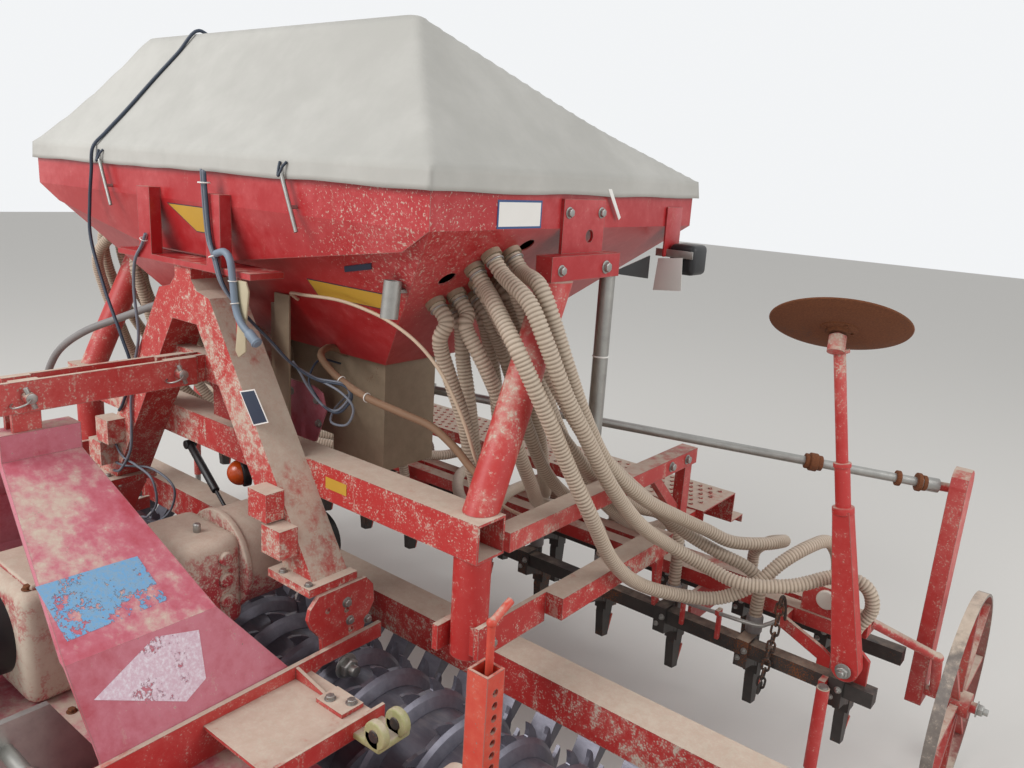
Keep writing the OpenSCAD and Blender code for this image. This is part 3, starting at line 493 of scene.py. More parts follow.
ribs = Finish("hose_plastic", 0.4)
groove_shade = ribs.node("ShaderNodeAttribute", {"attribute_name": "groove"}, {}, "Fac")
patches = ribs.noise(4.0, 4.0, 0.6)
dust_and_shade_noise = ribs.noise(60.0, 3.0, 0.6)
skin = ribs.mix(patches, tint("bba995"), tint("cdbdab"))
# painted shade: each groove between the ribs is coloured dark brown for the shade that falls in it
skin = ribs.mix((groove_shade * 0.62 + dust_and_shade_noise * 0.18).held(), skin, tint("66533f"))
skin = ribs.mix((ribs.upward() * 0.5 + dust_and_shade_noise * 0.5).step(0.55, 0.95) * 0.5, skin, tint("d8cabb"))
ribs.bump(dust_and_shade_noise, 0.2, 0.0008)
hose_plastic = ribs.use(Base_Color=skin, Roughness=0.55)

cloth = Finish("canvas", 0.35)
weave = [cloth.node("ShaderNodeTexWave", {"wave_type": "BANDS", "bands_direction": way},
                    {"Vector": cloth.place, "Scale": 240.0}) for way in "XY"]
stain = cloth.noise(2.3, 6.0, 0.62)
mottle = cloth.noise(14.0, 5.0, 0.6)
tone = cloth.mix((stain * 0.8 + mottle * 0.2).step(0.36, 0.7), tint("a9a7a1"), tint("bab8b2"))
tone = cloth.mix((mottle * 0.5 + stain * 0.6).step(0.7, 0.86) * 0.2, tone, tint("938f87"))
cloth.bump(weave[0] * 0.3 + weave[1] * 0.3 + mottle * 0.2, 0.2, 0.0006)
canvas = cloth.use(Base_Color=tone, Roughness=0.62)
for hose in hoses:
    hose.data.materials.append(hose_plastic)
print("materials", len(bpy.data.materials))

# %% [markdown]
# A drawn piece whose shape is right keeps its shape and only takes a finish. One table says which.

# %% Finishes of the drawn pieces
NODE_FINISH = {
    hopper_paint: ["hopper", "hopper_posts", "end_brackets"],
    frame_paint: ["top_bar", "side_frames", "upper_arms", "coulter_rails", "marker_mounts",
                  "stand_sockets", "carrier_rails", "marker_arm_right", "marker_arm_left",
                  "wheel_arm", "chain_case"],
    wheel_paint: ["land_wheel"],
    beam_paint: ["a_frame", "main_beam", "lower_arms", "footboard", "packer_frame"],
    harrow_paint: ["headstock", "trough"],
    shaded_paint: ["gearbox", "fan"],
    orange_paint: ["adjusters"],
    dark_steel: ["coulter_bars", "coulters_front", "coulters_rear",
                 *(f"rotor_{i:02d}" for i in range(1, 11))],
    soil_polished: ["packer_roller", "scrapers"],
    zinc: ["cover_hooks", "drain_tubes", "drive_shaft", "stand_right", "stand_left", "hitch_plates"],
    rust_plate: ["marker_disc_right", "marker_disc_left"],
    dull_sheet: ["metering_box", "air_pipe", "hose_collars"],
    black_plastic: ["pto_guard", "fan_drive", "lamps"],
    canvas: ["hopper_cover"],
    hose_plastic: ["hoses_right", "hoses_left"],
}
for finish, names in NODE_FINISH.items():
    for name in names:
        nodes[name].data.materials.clear()
        nodes[name].data.materials.append(finish)
dressed = sum(len(names) for names in NODE_FINISH.values())
print("drawn pieces with a finish", dressed, "of", len(nodes))

# %% [markdown]
# The hopper's cover is one canvas sheet, sewn to a hip like a tent: four sloping panels that meet at a
# short ridge, with a hem that hangs outside the rim. It is made from a flat grid whose points are lifted
# to the lowest of four slopes. Cloth doesn't hold a plane, so each panel sags a little, creases run down
# from the ridge, and the hem waves. The rim's own hem comes from extruding the grid's border downwards.

# %% Canvas cover
HEM_X = 0.8305
HEM_FRONT = -0.0085
HEM_BACK = 1.0285
HEM_LOW = 1.5835
HEM_TOP = 1.628
RIDGE_X = 0.548
RIDGE_Y = 0.220
RIDGE_Z = 1.939
SAG = 0.014


def cover_height(x, y):
    """Height of the cloth above the ground at a place of the drawing, in metres."""
    front = (y - HEM_FRONT) / (RIDGE_Y - HEM_FRONT)
    back = (HEM_BACK - y) / (HEM_BACK - RIDGE_Y)
    ends = (HEM_X - abs(x)) / (HEM_X - RIDGE_X)
    slopes = (front, back, ends, 1.0)
    soft = -math.log(sum(math.exp(-30 * max(slope, 0.0)) for slope in slopes)) / 30
    near = max(min(*slopes, soft + 0.03), 0.0)
    inner = math.sin(math.pi * min(near, 1.0))
    fold = noise.noise(Vector((x * 3, y * 1.5, 3.1))) * 0.008
    fold += noise.noise(Vector((x * 9, y * 4, 8.0))) * 0.002
    return HEM_TOP + (RIDGE_Z - HEM_TOP) * near - SAG * inner + fold * inner * 0.9


bpy.ops.mesh.primitive_grid_add(x_subdivisions=150, y_subdivisions=96, size=1)
cover = bpy.context.object
cover.name = "canvas_cover"
bpy.ops.object.mode_set(mode="EDIT")
bpy.ops.mesh.select_all(action="SELECT")
bpy.ops.transform.resize(value=(2 * HEM_X, HEM_BACK - HEM_FRONT, 1))
bpy.ops.mesh.select_all(action="DESELECT")
bpy.ops.object.mode_set(mode="OBJECT")
middle = (HEM_FRONT + HEM_BACK) / 2
for vert in cover.data.vertices:
    x = vert.co.x
    y = vert.co.y + middle
    vert.co = Vector((x, y, cover_height(x, y)))
bpy.ops.object.mode_set(mode="EDIT")
bpy.ops.mesh.select_mode(type="EDGE")
bpy.ops.mesh.select_non_manifold()
for part in range(4):
    bpy.ops.mesh.extrude_edges_move(TRANSFORM_OT_translate={"value": (0, 0, (HEM_LOW - HEM_TOP) / 4)})
bpy.ops.object.mode_set(mode="OBJECT")
for vert in cover.data.vertices:
    if vert.co.z < HEM_TOP - 0.003:
        depth = (HEM_TOP - vert.co.z) / (HEM_TOP - HEM_LOW)
        wave = noise.noise(Vector((vert.co.x * 7, vert.co.y * 7, 1.7)))
        out_x = math.copysign(1, vert.co.x) if abs(vert.co.x) > HEM_X - 0.001 else 0
        out_y = (vert.co.y > HEM_BACK - 0.001) - (vert.co.y < HEM_FRONT + 0.001)
        vert.co += Vector((out_x, out_y, 0)) * (0.003 + 0.005 * wave) * depth
        vert.co.z += 0.004 * wave * depth
    vert.co += SHIFT
bpy.ops.object.shade_smooth()
solid = cover.modifiers.new("cloth", "SOLIDIFY")
solid.thickness = 0.0016
solid.offset = -1
bpy.ops.object.modifier_apply(modifier="cloth")
cover.data.materials.append(canvas)
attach(cover, "frame")
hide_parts("hopper_cover")

# %% [markdown]
# Fittings come next: bolts, plates, rings, hooks. Each kind is made once with ordinary tools, a primitive at
# its size and then work in edit mode, and its copies carry their own mesh to their places. A turn from the
# Z axis to the bolt's own direction is all a copy needs.

# %% Helpers for fittings
def clear_choice():
    if bpy.context.object and bpy.context.object.mode == "EDIT":
        bpy.ops.object.mode_set(mode="OBJECT")
    bpy.ops.object.select_all(action="DESELECT")


def choose(piece):
    """Leaves this piece as the active and the only selected one."""
    clear_choice()
    piece.select_set(True)
    bpy.context.view_layer.objects.active = piece


def edit_all():
    bpy.ops.object.mode_set(mode="EDIT")
    bpy.ops.mesh.select_all(action="SELECT")


def edit_faces(piece, chosen):
    """Leaves the piece in edit mode with only those faces selected whose normal is chosen."""
    bpy.ops.object.mode_set(mode="EDIT")
    bpy.ops.mesh.select_mode(type="FACE")
    bpy.ops.mesh.select_all(action="DESELECT")
    bpy.ops.object.mode_set(mode="OBJECT")
    for face in piece.data.polygons:
        face.select = chosen(face.normal)
    bpy.ops.object.mode_set(mode="EDIT")


def rounded(width, segments=2):
    """Bevels the sharp edges of the piece just made and lets its round faces shine smoothly."""
    piece = bpy.context.object
    bpy.ops.object.transform_apply(location=True, rotation=True, scale=True)
    edge = piece.modifiers.new("edge", "BEVEL")
    edge.width = width
    edge.segments = segments
    edge.limit_method = "ANGLE"
    edge.angle_limit = math.radians(30)
    bpy.ops.object.modifier_apply(modifier="edge")
    bpy.ops.object.shade_smooth_by_angle(angle=math.radians(40))
    return piece


def cylinder(radius, depth, soft, place=(0, 0, 0), sides=20, segments=2):
    bpy.ops.mesh.primitive_cylinder_add(vertices=sides, radius=radius, depth=depth, location=place)
    return rounded(soft, segments)


def towards(place, way, size=1.0):
    """The move that takes a piece from the origin, looking up, to a place, looking along way."""
    turn_to = Vector(way).normalized().to_track_quat("Z", "Y").to_matrix().to_4x4()
    return Matrix.Translation(place) @ turn_to @ Matrix.Scale(size, 4)


def cast_round(place, way, radius, depth, soft, sides=64, finish=None):
    """A round part in millimetres round a place of the drawing, looking along way."""
    clear_choice()
    piece = cylinder(radius / 1000, depth / 1000, soft, sides=sides, segments=3)
    piece.data.transform(towards(at(*place), way))
    if finish:
        piece.data.materials.append(finish)
    return piece


def cast_block(low, high, soft, finish=None, segments=4):
    """A block between two corners of the drawing."""
    clear_choice()
    a = at(*low)
    b = at(*high)
    bpy.ops.mesh.primitive_cube_add(size=1, location=(a + b) / 2)
    bpy.ops.transform.resize(value=b - a)
    piece = rounded(soft, segments)
    if finish:
        piece.data.materials.append(finish)
    return piece


def join_all(pieces):
    clear_choice()
    for piece in pieces:
        piece.select_set(True)
    bpy.context.view_layer.objects.active = pieces[0]
    if len(pieces) > 1:
        bpy.ops.object.join()
    return bpy.context.object


def on_side(side_of, piece):
    """Moves a piece of the right-hand side to the left when side_of is below 0."""
    if side_of < 0:
        piece.data.transform(MIRROR)
        piece.data.flip_normals()
    return piece


def set_piece(piece, name, finish, body="frame"):
    """Leaves a finished piece at the origin, unturned, with its finish and its body."""
    choose(piece)
    bpy.ops.object.transform_apply(location=True, rotation=True, scale=True)
    piece.name = name
    if finish:
        piece.data.materials.clear()
        piece.data.materials.append(finish)
    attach(piece, body)
    return piece


def stamped(pattern, moves):
    made = []
    for move in moves:
        piece = pattern.copy()
        piece.data = pattern.data.copy()
        piece.data.transform(move)
        bpy.context.scene.collection.objects.link(piece)
        made.append(piece)
    return made


def copies(pattern, moves, name, finish, body="frame"):
    return set_piece(join_all(stamped(pattern, moves)), name, finish, body)


print("helpers ready")

# %% [markdown]
# The bolt is a washer with a six-sided head on it. The head's top is inset and lowered at its rim, as on a
# forged head, and a stub of thread stands above it on the nuts.

# %% Bolts and nuts
def bolt_pattern(thread):
    clear_choice()
    bpy.ops.mesh.primitive_cylinder_add(vertices=6, radius=1.0, depth=0.7, location=(0, 0, 0.5))
    edit_faces(bpy.context.object, lambda normal: normal.z > 0.9)
    bpy.ops.mesh.inset(thickness=0.16)
    bpy.ops.transform.translate(value=(0, 0, 0.1))
    bpy.ops.object.mode_set(mode="OBJECT")
    parts = [rounded(0.04), cylinder(1.3, 0.16, 0.04, (0, 0, 0.08), 24)]
    if thread:
        parts.append(cylinder(0.55, 1.5, 0.08, (0, 0, 0.9)))
    return join_all(parts)


def both(spots):
    """Moves to places of the drawing, each with the same on the other side of the machine."""
    found = []
    for place, way, size in spots:
        here = at(*place)
        found.append(towards(here, way, size / 1000))
        found.append(towards(mirrored(here), (-way[0], way[1], way[2]), size / 1000))
    return found


def row_places(first):
    """Where one bar's twelve coulters stand across the machine."""
    return [side_of * (first + 250 * i) for i in range(6) for side_of in (-1, 1)]


FRONT_ROW = 187.5
REAR_ROW = 62.5
bolt = bolt_pattern(False)
nut = bolt_pattern(True)
side_bolts = [((545, 50, 627), RIGHT, 10), ((545, 60, 577), RIGHT, 9), ((545, 115, 558), RIGHT, 9),
              ((915, 140, 642), RIGHT, 10), ((963, 612, 662), RIGHT, 9), ((925, 960, 868), RIGHT, 11),
              ((925, 870, 868), RIGHT, 11), ((866, 541, 1424), RIGHT, 12), ((866, 365, 1424), RIGHT, 10),
              ((830, 559, 1545), RIGHT, 10), ((830, 430, 1545), RIGHT, 10), ((679, -106, 512), UP, 10),
              ((722, -84, 512), UP, 10), ((420, -36, 690), UP, 8), ((515, -36, 690), UP, 8),
              ((415, -670, 505), RIGHT, 10), ((415, -600, 470), RIGHT, 10), ((1512, -60, 300), RIGHT, 11),
              ((1512, 220, 300), RIGHT, 11)]
side_nuts = [((545, 49, 460), RIGHT, 24), ((1456, 845, 489), FRONT, 15)]
copies(bolt, both(side_bolts), "frame_bolts", zinc)
copies(nut, both(side_nuts), "frame_nuts", zinc)
copies(nut, [towards(at(*WHEEL), RIGHT, 0.017)], "wheel_nut", zinc)
harrow_bolts = []
for i in range(10):
    for dx in (-60, 60):
        for dy in (-60, 60):
            place = at((i + 0.5) * 300 - 1500 + dx, -380 + dy, 420)
            harrow_bolts.append(towards(place, UP, 0.009))
for x in (-110, 110):
    for y in (-470, -320, -170):
        harrow_bolts.append(towards(at(x, y, 690), UP, 0.010))
for k in range(8):
    angle = math.radians(k * 45 + 22)
    place = at(200 + 100 * math.cos(angle), -60, 660 + 100 * math.sin(angle))
    harrow_bolts.append(towards(place, FRONT, 0.008))
copies(bolt, harrow_bolts, "trough_bolts", rust_plate)
bar_bolts = []
for first, y in ((FRONT_ROW, 880), (REAR_ROW, 1140)):
    for x in row_places(first):
        bar_bolts.append(towards(at(x + 8, y - 8, 418), FRONT, 0.007))
        bar_bolts.append(towards(at(x - 8, y - 8, 392), FRONT, 0.006))
copies(nut, bar_bolts, "coulter_bolts", zinc)
print("bolts", len(side_bolts) * 2 + len(side_nuts) * 2 + 1 + len(harrow_bolts) + len(bar_bolts))

# %% [markdown]
# Plates and labels start as a ring of corners that is filled and grown to its thickness. A label's border
# is inset first, so that it is a face loop of its own. All labels stay blank.

# %% Plates and blank labels
def plate(corners, out, thick, finish, lift=0.0, border=None, margin=0.004):
    clear_choice()
    out = Vector(out).normalized()
    bpy.ops.mesh.primitive_circle_add(vertices=len(corners), radius=0.1, fill_type="NGON")
    piece = bpy.context.object
    for vert, corner in zip(piece.data.vertices, corners):
        vert.co = at(*corner) + out * lift
    piece.data.update()
    if piece.data.polygons[0].normal.dot(out) < 0:
        piece.data.flip_normals()
    piece.data.materials.append(finish)
    edit_all()
    if border:
        bpy.ops.mesh.inset(thickness=margin)
        bpy.ops.object.mode_set(mode="OBJECT")
        piece.data.materials.append(border)
        for face in piece.data.polygons:
            face.material_index = 0 if face.select else 1
        bpy.ops.object.mode_set(mode="EDIT")
        bpy.ops.mesh.inset(thickness=margin * 0.5)
        bpy.ops.mesh.select_all(action="SELECT")
    bpy.ops.mesh.extrude_region_move(TRANSFORM_OT_translate={"value": out * thick})
    bpy.ops.mesh.select_all(action="SELECT")
    bpy.ops.mesh.normals_make_consistent(inside=False)
    bpy.ops.object.mode_set(mode="OBJECT")
    return piece


def label(name, corners, out, finish, border=None, margin=0.004, thick=0.0008):
    set_piece(plate(corners, out, thick, finish, 0.0004, border, margin), name, None)


def folded_plate(name, corners, out, thick, finish):
    plate(corners, out, thick, finish)
    set_piece(rounded(thick * 0.3), name, finish)


def patchy(name, colour, under, share, scale):
    """Paint or foil of which only patches are left: the rest is cut away by the alpha."""
    left = Finish(name, 0.4)
    broad = left.noise(scale, 6.0, 0.65)
    fine = left.noise(scale * 9, 4.0, 0.7)
    tone = left.mix((fine * 0.8).step(0.3, 0.6), tint(under), tint(colour))
    kept = (broad * 0.7 + fine * 0.35).step(0.61 - 0.2 * share, 0.64 - 0.2 * share)
    return left.use(Base_Color=tone, Alpha=kept, Roughness=0.6)


blue_rest = patchy("blue_rest", "5ea0d2", "7f9fb8", 0.72, 13.0)
white_rest = patchy("white_rest", "e6e1e8", "d3b7c4", 0.85, 14.0)
dark_label = plastic("dark_label", "2e3c50", "232d3d", 0.4, 0.25)
HOPPER_PANEL = (0, -365, -262)
APRON = (0, -140, -45)
label("blue_patch", [(311, -529, 792), (314, -327, 790), (421, -321, 728), (429, -526, 723)],
      (255, 0, 440), blue_rest)
label("torn_label", [(500, -516, 628), (474, -380, 690), (482, -290, 671), (520, -300, 580),
                     (530, -350, 556)], (180, 0, 75), white_rest)
label("data_plate", [(236, -20, 1085), (296, -20, 1103), (349, -20, 1034), (290, -20, 1012)], FRONT,
      dark_label, white_plate, 0.003, 0.0012)
label("rim_label", [(822, 191, 1570), (822, 338, 1570), (822, 338, 1512), (822, 191, 1512)], RIGHT,
      white_plate, blue_plate, 0.0045)
label("warning_label_low", [(318, 111, 1355), (585, 112, 1354), (566, 142, 1313), (322, 142, 1313)],
      HOPPER_PANEL, yellow_plate, dark_label, 0.002)
label("warning_label_high", [(-100, 3.2, 1500), (0, 23.8, 1436), (150, 23.8, 1436), (128, 3.2, 1500)],
      APRON, yellow_plate, dark_label, 0.002)
label("beam_label", [(430, 79.9, 872), (505, 79.9, 872), (505, 79.9, 900), (430, 79.9, 900)], FRONT,
      yellow_plate)
label("panel_tab", [(496, 75, 1406), (598, 61, 1425), (588, 71, 1411), (486, 85, 1392)], HOPPER_PANEL,
      dark_label, None, 0.004, 0.002)
print("labels", 8)

# %% [markdown]
# Cables and lines. One is thrown over the cover, so its places read their height from the cloth. The others
# hang from ties, follow a leg of the A-frame or end in loops. Each is a round tube along its own line,
# attached to the frame.

# %% Cables and lines
def cable(name, places, diameter, finish):
    line = smooth_line([at(*place) for place in places], 0.008)
    piece = tube_along(name, line, [diameter / 2] * len(line), 10)
    piece.data.materials.append(finish)
    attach(piece, "frame")
    length_of(line)


def on_cover(x, y):
    return (x, y, 1000 * cover_height(x / 1000, y / 1000) + 8)


black_cord = plastic("black_cord", "3a4454", "262d39", 0.45, 0.3)
grey_cord = plastic("grey_cord", "7d828c", "5b606a", 0.5, 0.35)
cream_cord = plastic("cream_cord", "c9b39c", "a58f78", 0.5, 0.2)
tape_cord = plastic("tape_cord", "8a6a50", "6d5340", 0.7, 0.5)
OVER_COVER = [on_cover(-150, 520), on_cover(-225, 360), on_cover(-280, 262), on_cover(-298, 218),
      on_cover(-330, 180), on_cover(-375, 132), on_cover(-408, 67), on_cover(-425, 14), (-432, -18, 1622),
      (-440, -22, 1560), (-455, -24, 1480), (-450, -30, 1380), (-380, -34, 1250), (-300, -34, 1130),
      (-268, -27, 1040), (-320, -27, 940), (-352, -26, 905)]
cable("cover_cable", OVER_COVER, 0.009, black_cord)
DOWN = [(132, -36, 1588), (140, -36, 1492), (150, -36, 1430), (172, -38, 1396), (205, -36, 1329),
      (252, -5, 1262), (278, 38, 1206), (299, 80, 1151), (350, 110, 1120), (410, 140, 1114),
      (430, 150, 1087), (383, 152, 1039), (338, 146, 1041), (304, 128, 1082), (290, 110, 1125),
      (282, 96, 1150)]
cable("lamp_cable", DOWN, 0.007, grey_cord)
cable("sensor_cable", [(x + 9, y - 1, z - 3) for x, y, z in DOWN[:13]] + [(300, 150, 1062),
      (262, 160, 1092), (240, 210, 1130), (236, 282, 1110)], 0.006, black_cord)
cable("third_cable", [(x - 9, y, z + 2) for x, y, z in DOWN[:9]] + [(420, 128, 1098), (452, 142, 1062),
      (420, 150, 1012), (350, 160, 1000), (290, 220, 1010), (262, 288, 1030)], 0.006, grey_cord)
BUNDLE = [(188, -44, 1404), (222, -44, 1412), (244, -44, 1396), (253, -44, 1350), (266, -46, 1289),
      (290, -48, 1258), (316, -46, 1240)]
clear_choice()
plug = join_all([cylinder(0.0115, 0.04, 0.003, (0, 0, 0.016)), cylinder(0.0135, 0.006, 0.002, (0, 0, 0.03))])
plug_moves = [towards(at(*BUNDLE[-1]), (26, 2, -18))]
bundle_plug = copies(plug, plug_moves, "bundle_plug", blue_grey)
cable("taped_bundle", BUNDLE, 0.017, blue_grey)
cable("hydraulic_hose", [(-850, 81, 884), (-850, 30, 880), (-815, -25, 905), (-722, -28, 1006),
      (-600, -5, 1085), (-494, 60, 1140), (-328, 125, 1206), (-150, 160, 1225), (-60, 165, 1205),
      (-40, 165, 1174)], 0.022, grey_rubber)
cable("bowden_cable", [(232, 150, 1290), (258, 110, 1312), (316, 108, 1315), (426, 112, 1319),
      (507, 122, 1309), (576, 137, 1289), (649, 150, 1253), (711, 158, 1203), (752, 168, 1141),
      (778, 182, 1075), (800, 205, 985), (812, 260, 900), (830, 400, 822), (846, 560, 792), (852, 720, 800),
      (858, 830, 800), (868, 880, 862)], 0.008, cream_cord)
cable("air_line", [(252, 286, 1140), (262, 230, 1165), (300, 168, 1165), (333, 152, 1148), (398, 150, 1118),
      (491, 150, 1095), (598, 158, 1081), (682, 170, 1066), (745, 176, 1035), (792, 180, 1000),
      (824, 178, 985)], 0.018, tape_cord)
cable("leg_cable", [(-140, -36, 1420), (-161, -36, 1390), (-205, -34, 1343), (-225, -30, 1261),
      (-219, -27, 1146), (-251, -26, 1056), (-280, -26, 952), (-286, -26, 880), (-300, -26, 800),
      (-355, -30, 728), (-400, -28, 712)], 0.008, grey_cord)
cable("gear_cable", [(-430, -25, 740), (-400, -28, 742), (-352, -20, 738), (-269, 18, 742), (-194, 40, 702),
      (-225, 45, 621), (-285, 30, 568), (-333, 15, 574), (-270, 2, 600), (-205, -6, 665), (-212, -14, 736),
      (-290, -18, 756), (-350, -26, 770), (-395, -27, 812)], 0.007, grey_cord)
for side_of, word in SIDES:
    x = 400 * side_of
    cable(f"hook_elastic_{word}", [(x + 10, -11, 1618), (x + 3, -17, 1608), (x, -21, 1596),
          (x - 2, -25, 1588), (x - 6, -22, 1594), (x - 10, -17, 1606), (x - 14, -11, 1617)],
          0.006, black_cord)
print("cables", 12)

# %% [markdown]
# Ties, clips and cuffs hold the hoses and cables. A ring is a torus at its size. A cuff is a short sleeve
# with a bead at each end, made by extruding and scaling the end faces of a cylinder. The coulter's tip is
# a block that narrows downwards.

# %% Ties, clips, cuffs and tips
clear_choice()
bpy.ops.mesh.primitive_torus_add(major_radius=1.0, minor_radius=0.13, major_segments=32, minor_segments=8)
ring = bpy.context.object
bpy.ops.object.shade_smooth()
clip_moves = []
for collar, points in HOSE_ROUTES:
    start, after = hose_places(collar, points)[:2]
    way = after - start
    seat = start + way.normalized() * 0.010
    clip_moves.append(towards(seat, way, 0.0188))
    clip_moves.append(towards(mirrored(seat), (-way.x, way.y, way.z), 0.0188))
copies(ring, clip_moves, "hose_clips", zinc)
TIES = [((172, -37, 1396), (0.3, 0, -1), 13), ((134, -36, 1560), UP, 13), ((-150, -36, 1405), (0.5, 0, 1), 9),
        ((491, 150, 1095), RIGHT, 10.5), ((398, 150, 1118), (1, 0, -0.4), 10.5), ((842, 590, 1201), UP, 18.5),
        ((253, -44, 1350), UP, 9.5), ((262, -46, 1300), (0.2, 0, -1), 9.5)]
ties = [towards(at(*place), way, radius / 1000) for place, way, radius in TIES]
copies(ring, ties, "cable_ties", white_plate)
bpy.ops.mesh.primitive_cylinder_add(vertices=24, radius=0.0225, depth=0.040)
edit_faces(bpy.context.object, lambda normal: abs(normal.z) > 0.9)
bpy.ops.mesh.extrude_region_move(TRANSFORM_OT_translate={"value": (0, 0, 0)})
bpy.ops.transform.resize(value=(0.9, 0.9, 1.25))
bpy.ops.object.mode_set(mode="OBJECT")
cuff = rounded(0.0015)
bpy.ops.mesh.primitive_cube_add(size=1)
tip = bpy.context.object
bpy.ops.transform.resize(value=(0.034, 0.012, 0.072))
bpy.ops.object.transform_apply(location=False, rotation=False, scale=True)
for vert in tip.data.vertices:
    if vert.co.z < 0:
        vert.co.x *= 0.45
        vert.co.y += 0.004
    else:
        vert.co.y += 0.010
tip = rounded(0.003)
cuff_moves = []
tip_moves = []
for first, y, low in ((FRONT_ROW, 900, 205), (REAR_ROW, 1160, 160)):
    for x in row_places(first):
        cuff_moves.append(towards(at(x, y + 42, 470), UP))
        tip_moves.append(Matrix.Translation(at(x, y + 100, low + 34)))
copies(cuff, cuff_moves, "hose_cuffs", grey_rubber)
copies(tip, tip_moves, "coulter_tips", orange_paint)
print("clips", len(clip_moves), "ties", len(ties), "cuffs", len(cuff_moves), "tips", len(tip_moves))

# %% [markdown]
# The marker disc is a pressed dish with a hub that is bolted on from below. A profile of a few points is
# spun round the axle; the dish curves up towards its rim. It is modelled flat and then takes the lean of
# its arm, the same three moves that the drawing makes.

# %% Marker discs
LEAN = math.radians(10)
TILT = math.radians(28)
ARM_LENGTH = 0.840
ARM_MOVE = Matrix.Translation(at(1456, 875, 489)) @ Matrix.Rotation(-LEAN, 4, "Y")
DISC_MOVE = ARM_MOVE @ Matrix.Translation((0, 0, ARM_LENGTH)) @ Matrix.Rotation(-TILT, 4, "X")


def spun(name, profile, steps=64):
    """Spins radius and height, in metres, round the Z axis."""
    mesh = bpy.data.meshes.new(name)
    count = len(profile)
    mesh.from_pydata([(r, 0, z) for r, z in profile], [(i, (i + 1) % count) for i in range(count)], [])
    piece = added(name, mesh)
    choose(piece)
    edit_all()
    bpy.ops.mesh.spin(steps=steps, angle=2 * math.pi, center=(0, 0, 0), axis=UP)
    bpy.ops.mesh.select_all(action="SELECT")
    bpy.ops.mesh.remove_doubles(threshold=0.00001)
    bpy.ops.mesh.normals_make_consistent(inside=False)
    bpy.ops.object.mode_set(mode="OBJECT")
    bpy.ops.object.shade_smooth_by_angle(angle=math.radians(35))
    return piece


DISH = [(0.0102, -0.014), (0.026, -0.014), (0.027, -0.006), (0.042, -0.004), (0.044, -0.001), (0.090, -0.003),
        (0.130, -0.001), (0.158, 0.006), (0.160, 0.009), (0.156, 0.010), (0.128, 0.003), (0.090, 0.001),
        (0.044, 0.003), (0.027, 0.004), (0.025, 0.011), (0.0102, 0.011)]
hub_bolts = []
for k in range(4):
    angle = math.radians(45 + 90 * k)
    place = Vector((0.034 * math.cos(angle), 0.034 * math.sin(angle), -0.005))
    hub_bolts.append(towards(place, (0, 0, -1), 0.004))
for side_of, word in SIDES:
    disc = join_all([spun(f"marker_dish_{word}", DISH)] + stamped(bolt, hub_bolts))
    disc.data.transform(DISC_MOVE)
    on_side(side_of, disc)
    set_piece(disc, f"marker_dish_{word}", rust_plate, f"disc_{word}")
    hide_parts(f"marker_disc_{word}")
print("marker discs", 2)

# %% [markdown]
# The rear lamps are blocks with soft corners. The rear face is inset and pushed in for the lens, which takes
# its own finish. A red arm and a strip hold the housing, and a blank tag hangs beside it.

# %% Rear lamps and small plates
red_lens = plastic("red_lens", "7a1f22", "5a1518", 0.25, 0.3, 0.6)
for side_of, word in SIDES:
    housing = cast_block((832, 898, 1386), (908, 978, 1466), 0.014, black_plastic)
    housing.data.materials.append(red_lens)
    edit_faces(housing, lambda normal: normal.y > 0.99)
    bpy.ops.mesh.inset(thickness=0.004)
    bpy.ops.transform.translate(value=(0, -0.003, 0))
    bpy.ops.object.mode_set(mode="OBJECT")
    for face in housing.data.polygons:
        face.material_index = 1 if face.select else 0
    arm = cast_block((822, 880, 1430), (828, 960, 1560), 0.002, hopper_paint, 2)
    strip = cast_block((795, 894, 1430), (905, 898, 1450), 0.001, zinc, 2)
    lamp = on_side(side_of, join_all([housing, arm, strip]))
    set_piece(lamp, f"rear_lamp_{word}", None)
    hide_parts("lamps")
folded_plate("lamp_tag", [(806, 893, 1424), (878, 893, 1432), (886, 888, 1346), (802, 888, 1338)], FRONT,
             0.0015, white_plate)
folded_plate("lamp_wedge", [(822.5, 630, 1400), (822.5, 813, 1436), (822.5, 813, 1376)], RIGHT, 0.004,
             black_plastic)
folded_plate("cover_strap", [(831, 576, 1600), (831, 592, 1600), (831, 642, 1534), (831, 634, 1528)], RIGHT,
             0.0015, white_plate)
folded_plate("plug_plate", [(250, -31, 1352), (290, -31, 1352), (300, -31, 1330), (286, -31, 1250),
             (284, -31, 1190), (256, -31, 1172), (244, -31, 1186), (256, -31, 1260)], FRONT, 0.005,
             cream_plastic)
folded_plate("plug_bracket", [(236, -26, 1356), (262, -26, 1356), (262, -26, 1190), (244, -26, 1190)], FRONT,
             0.005, frame_paint)
print("lamps", 2, "plates", 5)

# %% [markdown]
# The harrow's gearbox is a casting, so its body gets thick soft corners, a lid, a round bearing housing and
# three plugs. Each part is a primitive at its place; the bevel is wide, as on cast iron.

# %% Cast gearbox
gear_parts = [cast_block((-120, -500, 420), (150, -136, 690), 0.03),
              cast_block((-96, -470, 684), (124, -170, 700), 0.006),
              cast_block((70, -210, 520), (298, -56, 752), 0.03),
              cast_round((200, 8, 656), REAR, 122, 150, 0.02),
              cast_round((200, -62, 656), REAR, 128, 16, 0.004)]
for z in (598, 652, 706):
    gear_parts.append(cast_round((298, -110, z), RIGHT, 17, 22, 0.004, 24))
gearbox = set_piece(join_all(gear_parts), "cast_gearbox", casting_paint)
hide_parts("gearbox")
set_piece(cast_round((214, -130, 762), UP, 9, 24, 0.004, 20), "breather", zinc)
print("gearbox parts", len(gear_parts))

# %% [markdown]
# A chain link is a torus whose two halves are slid apart, which gives the straight sides between them as
# well. Every second link is turned. A thin rod runs to the chain along the coulter bar.

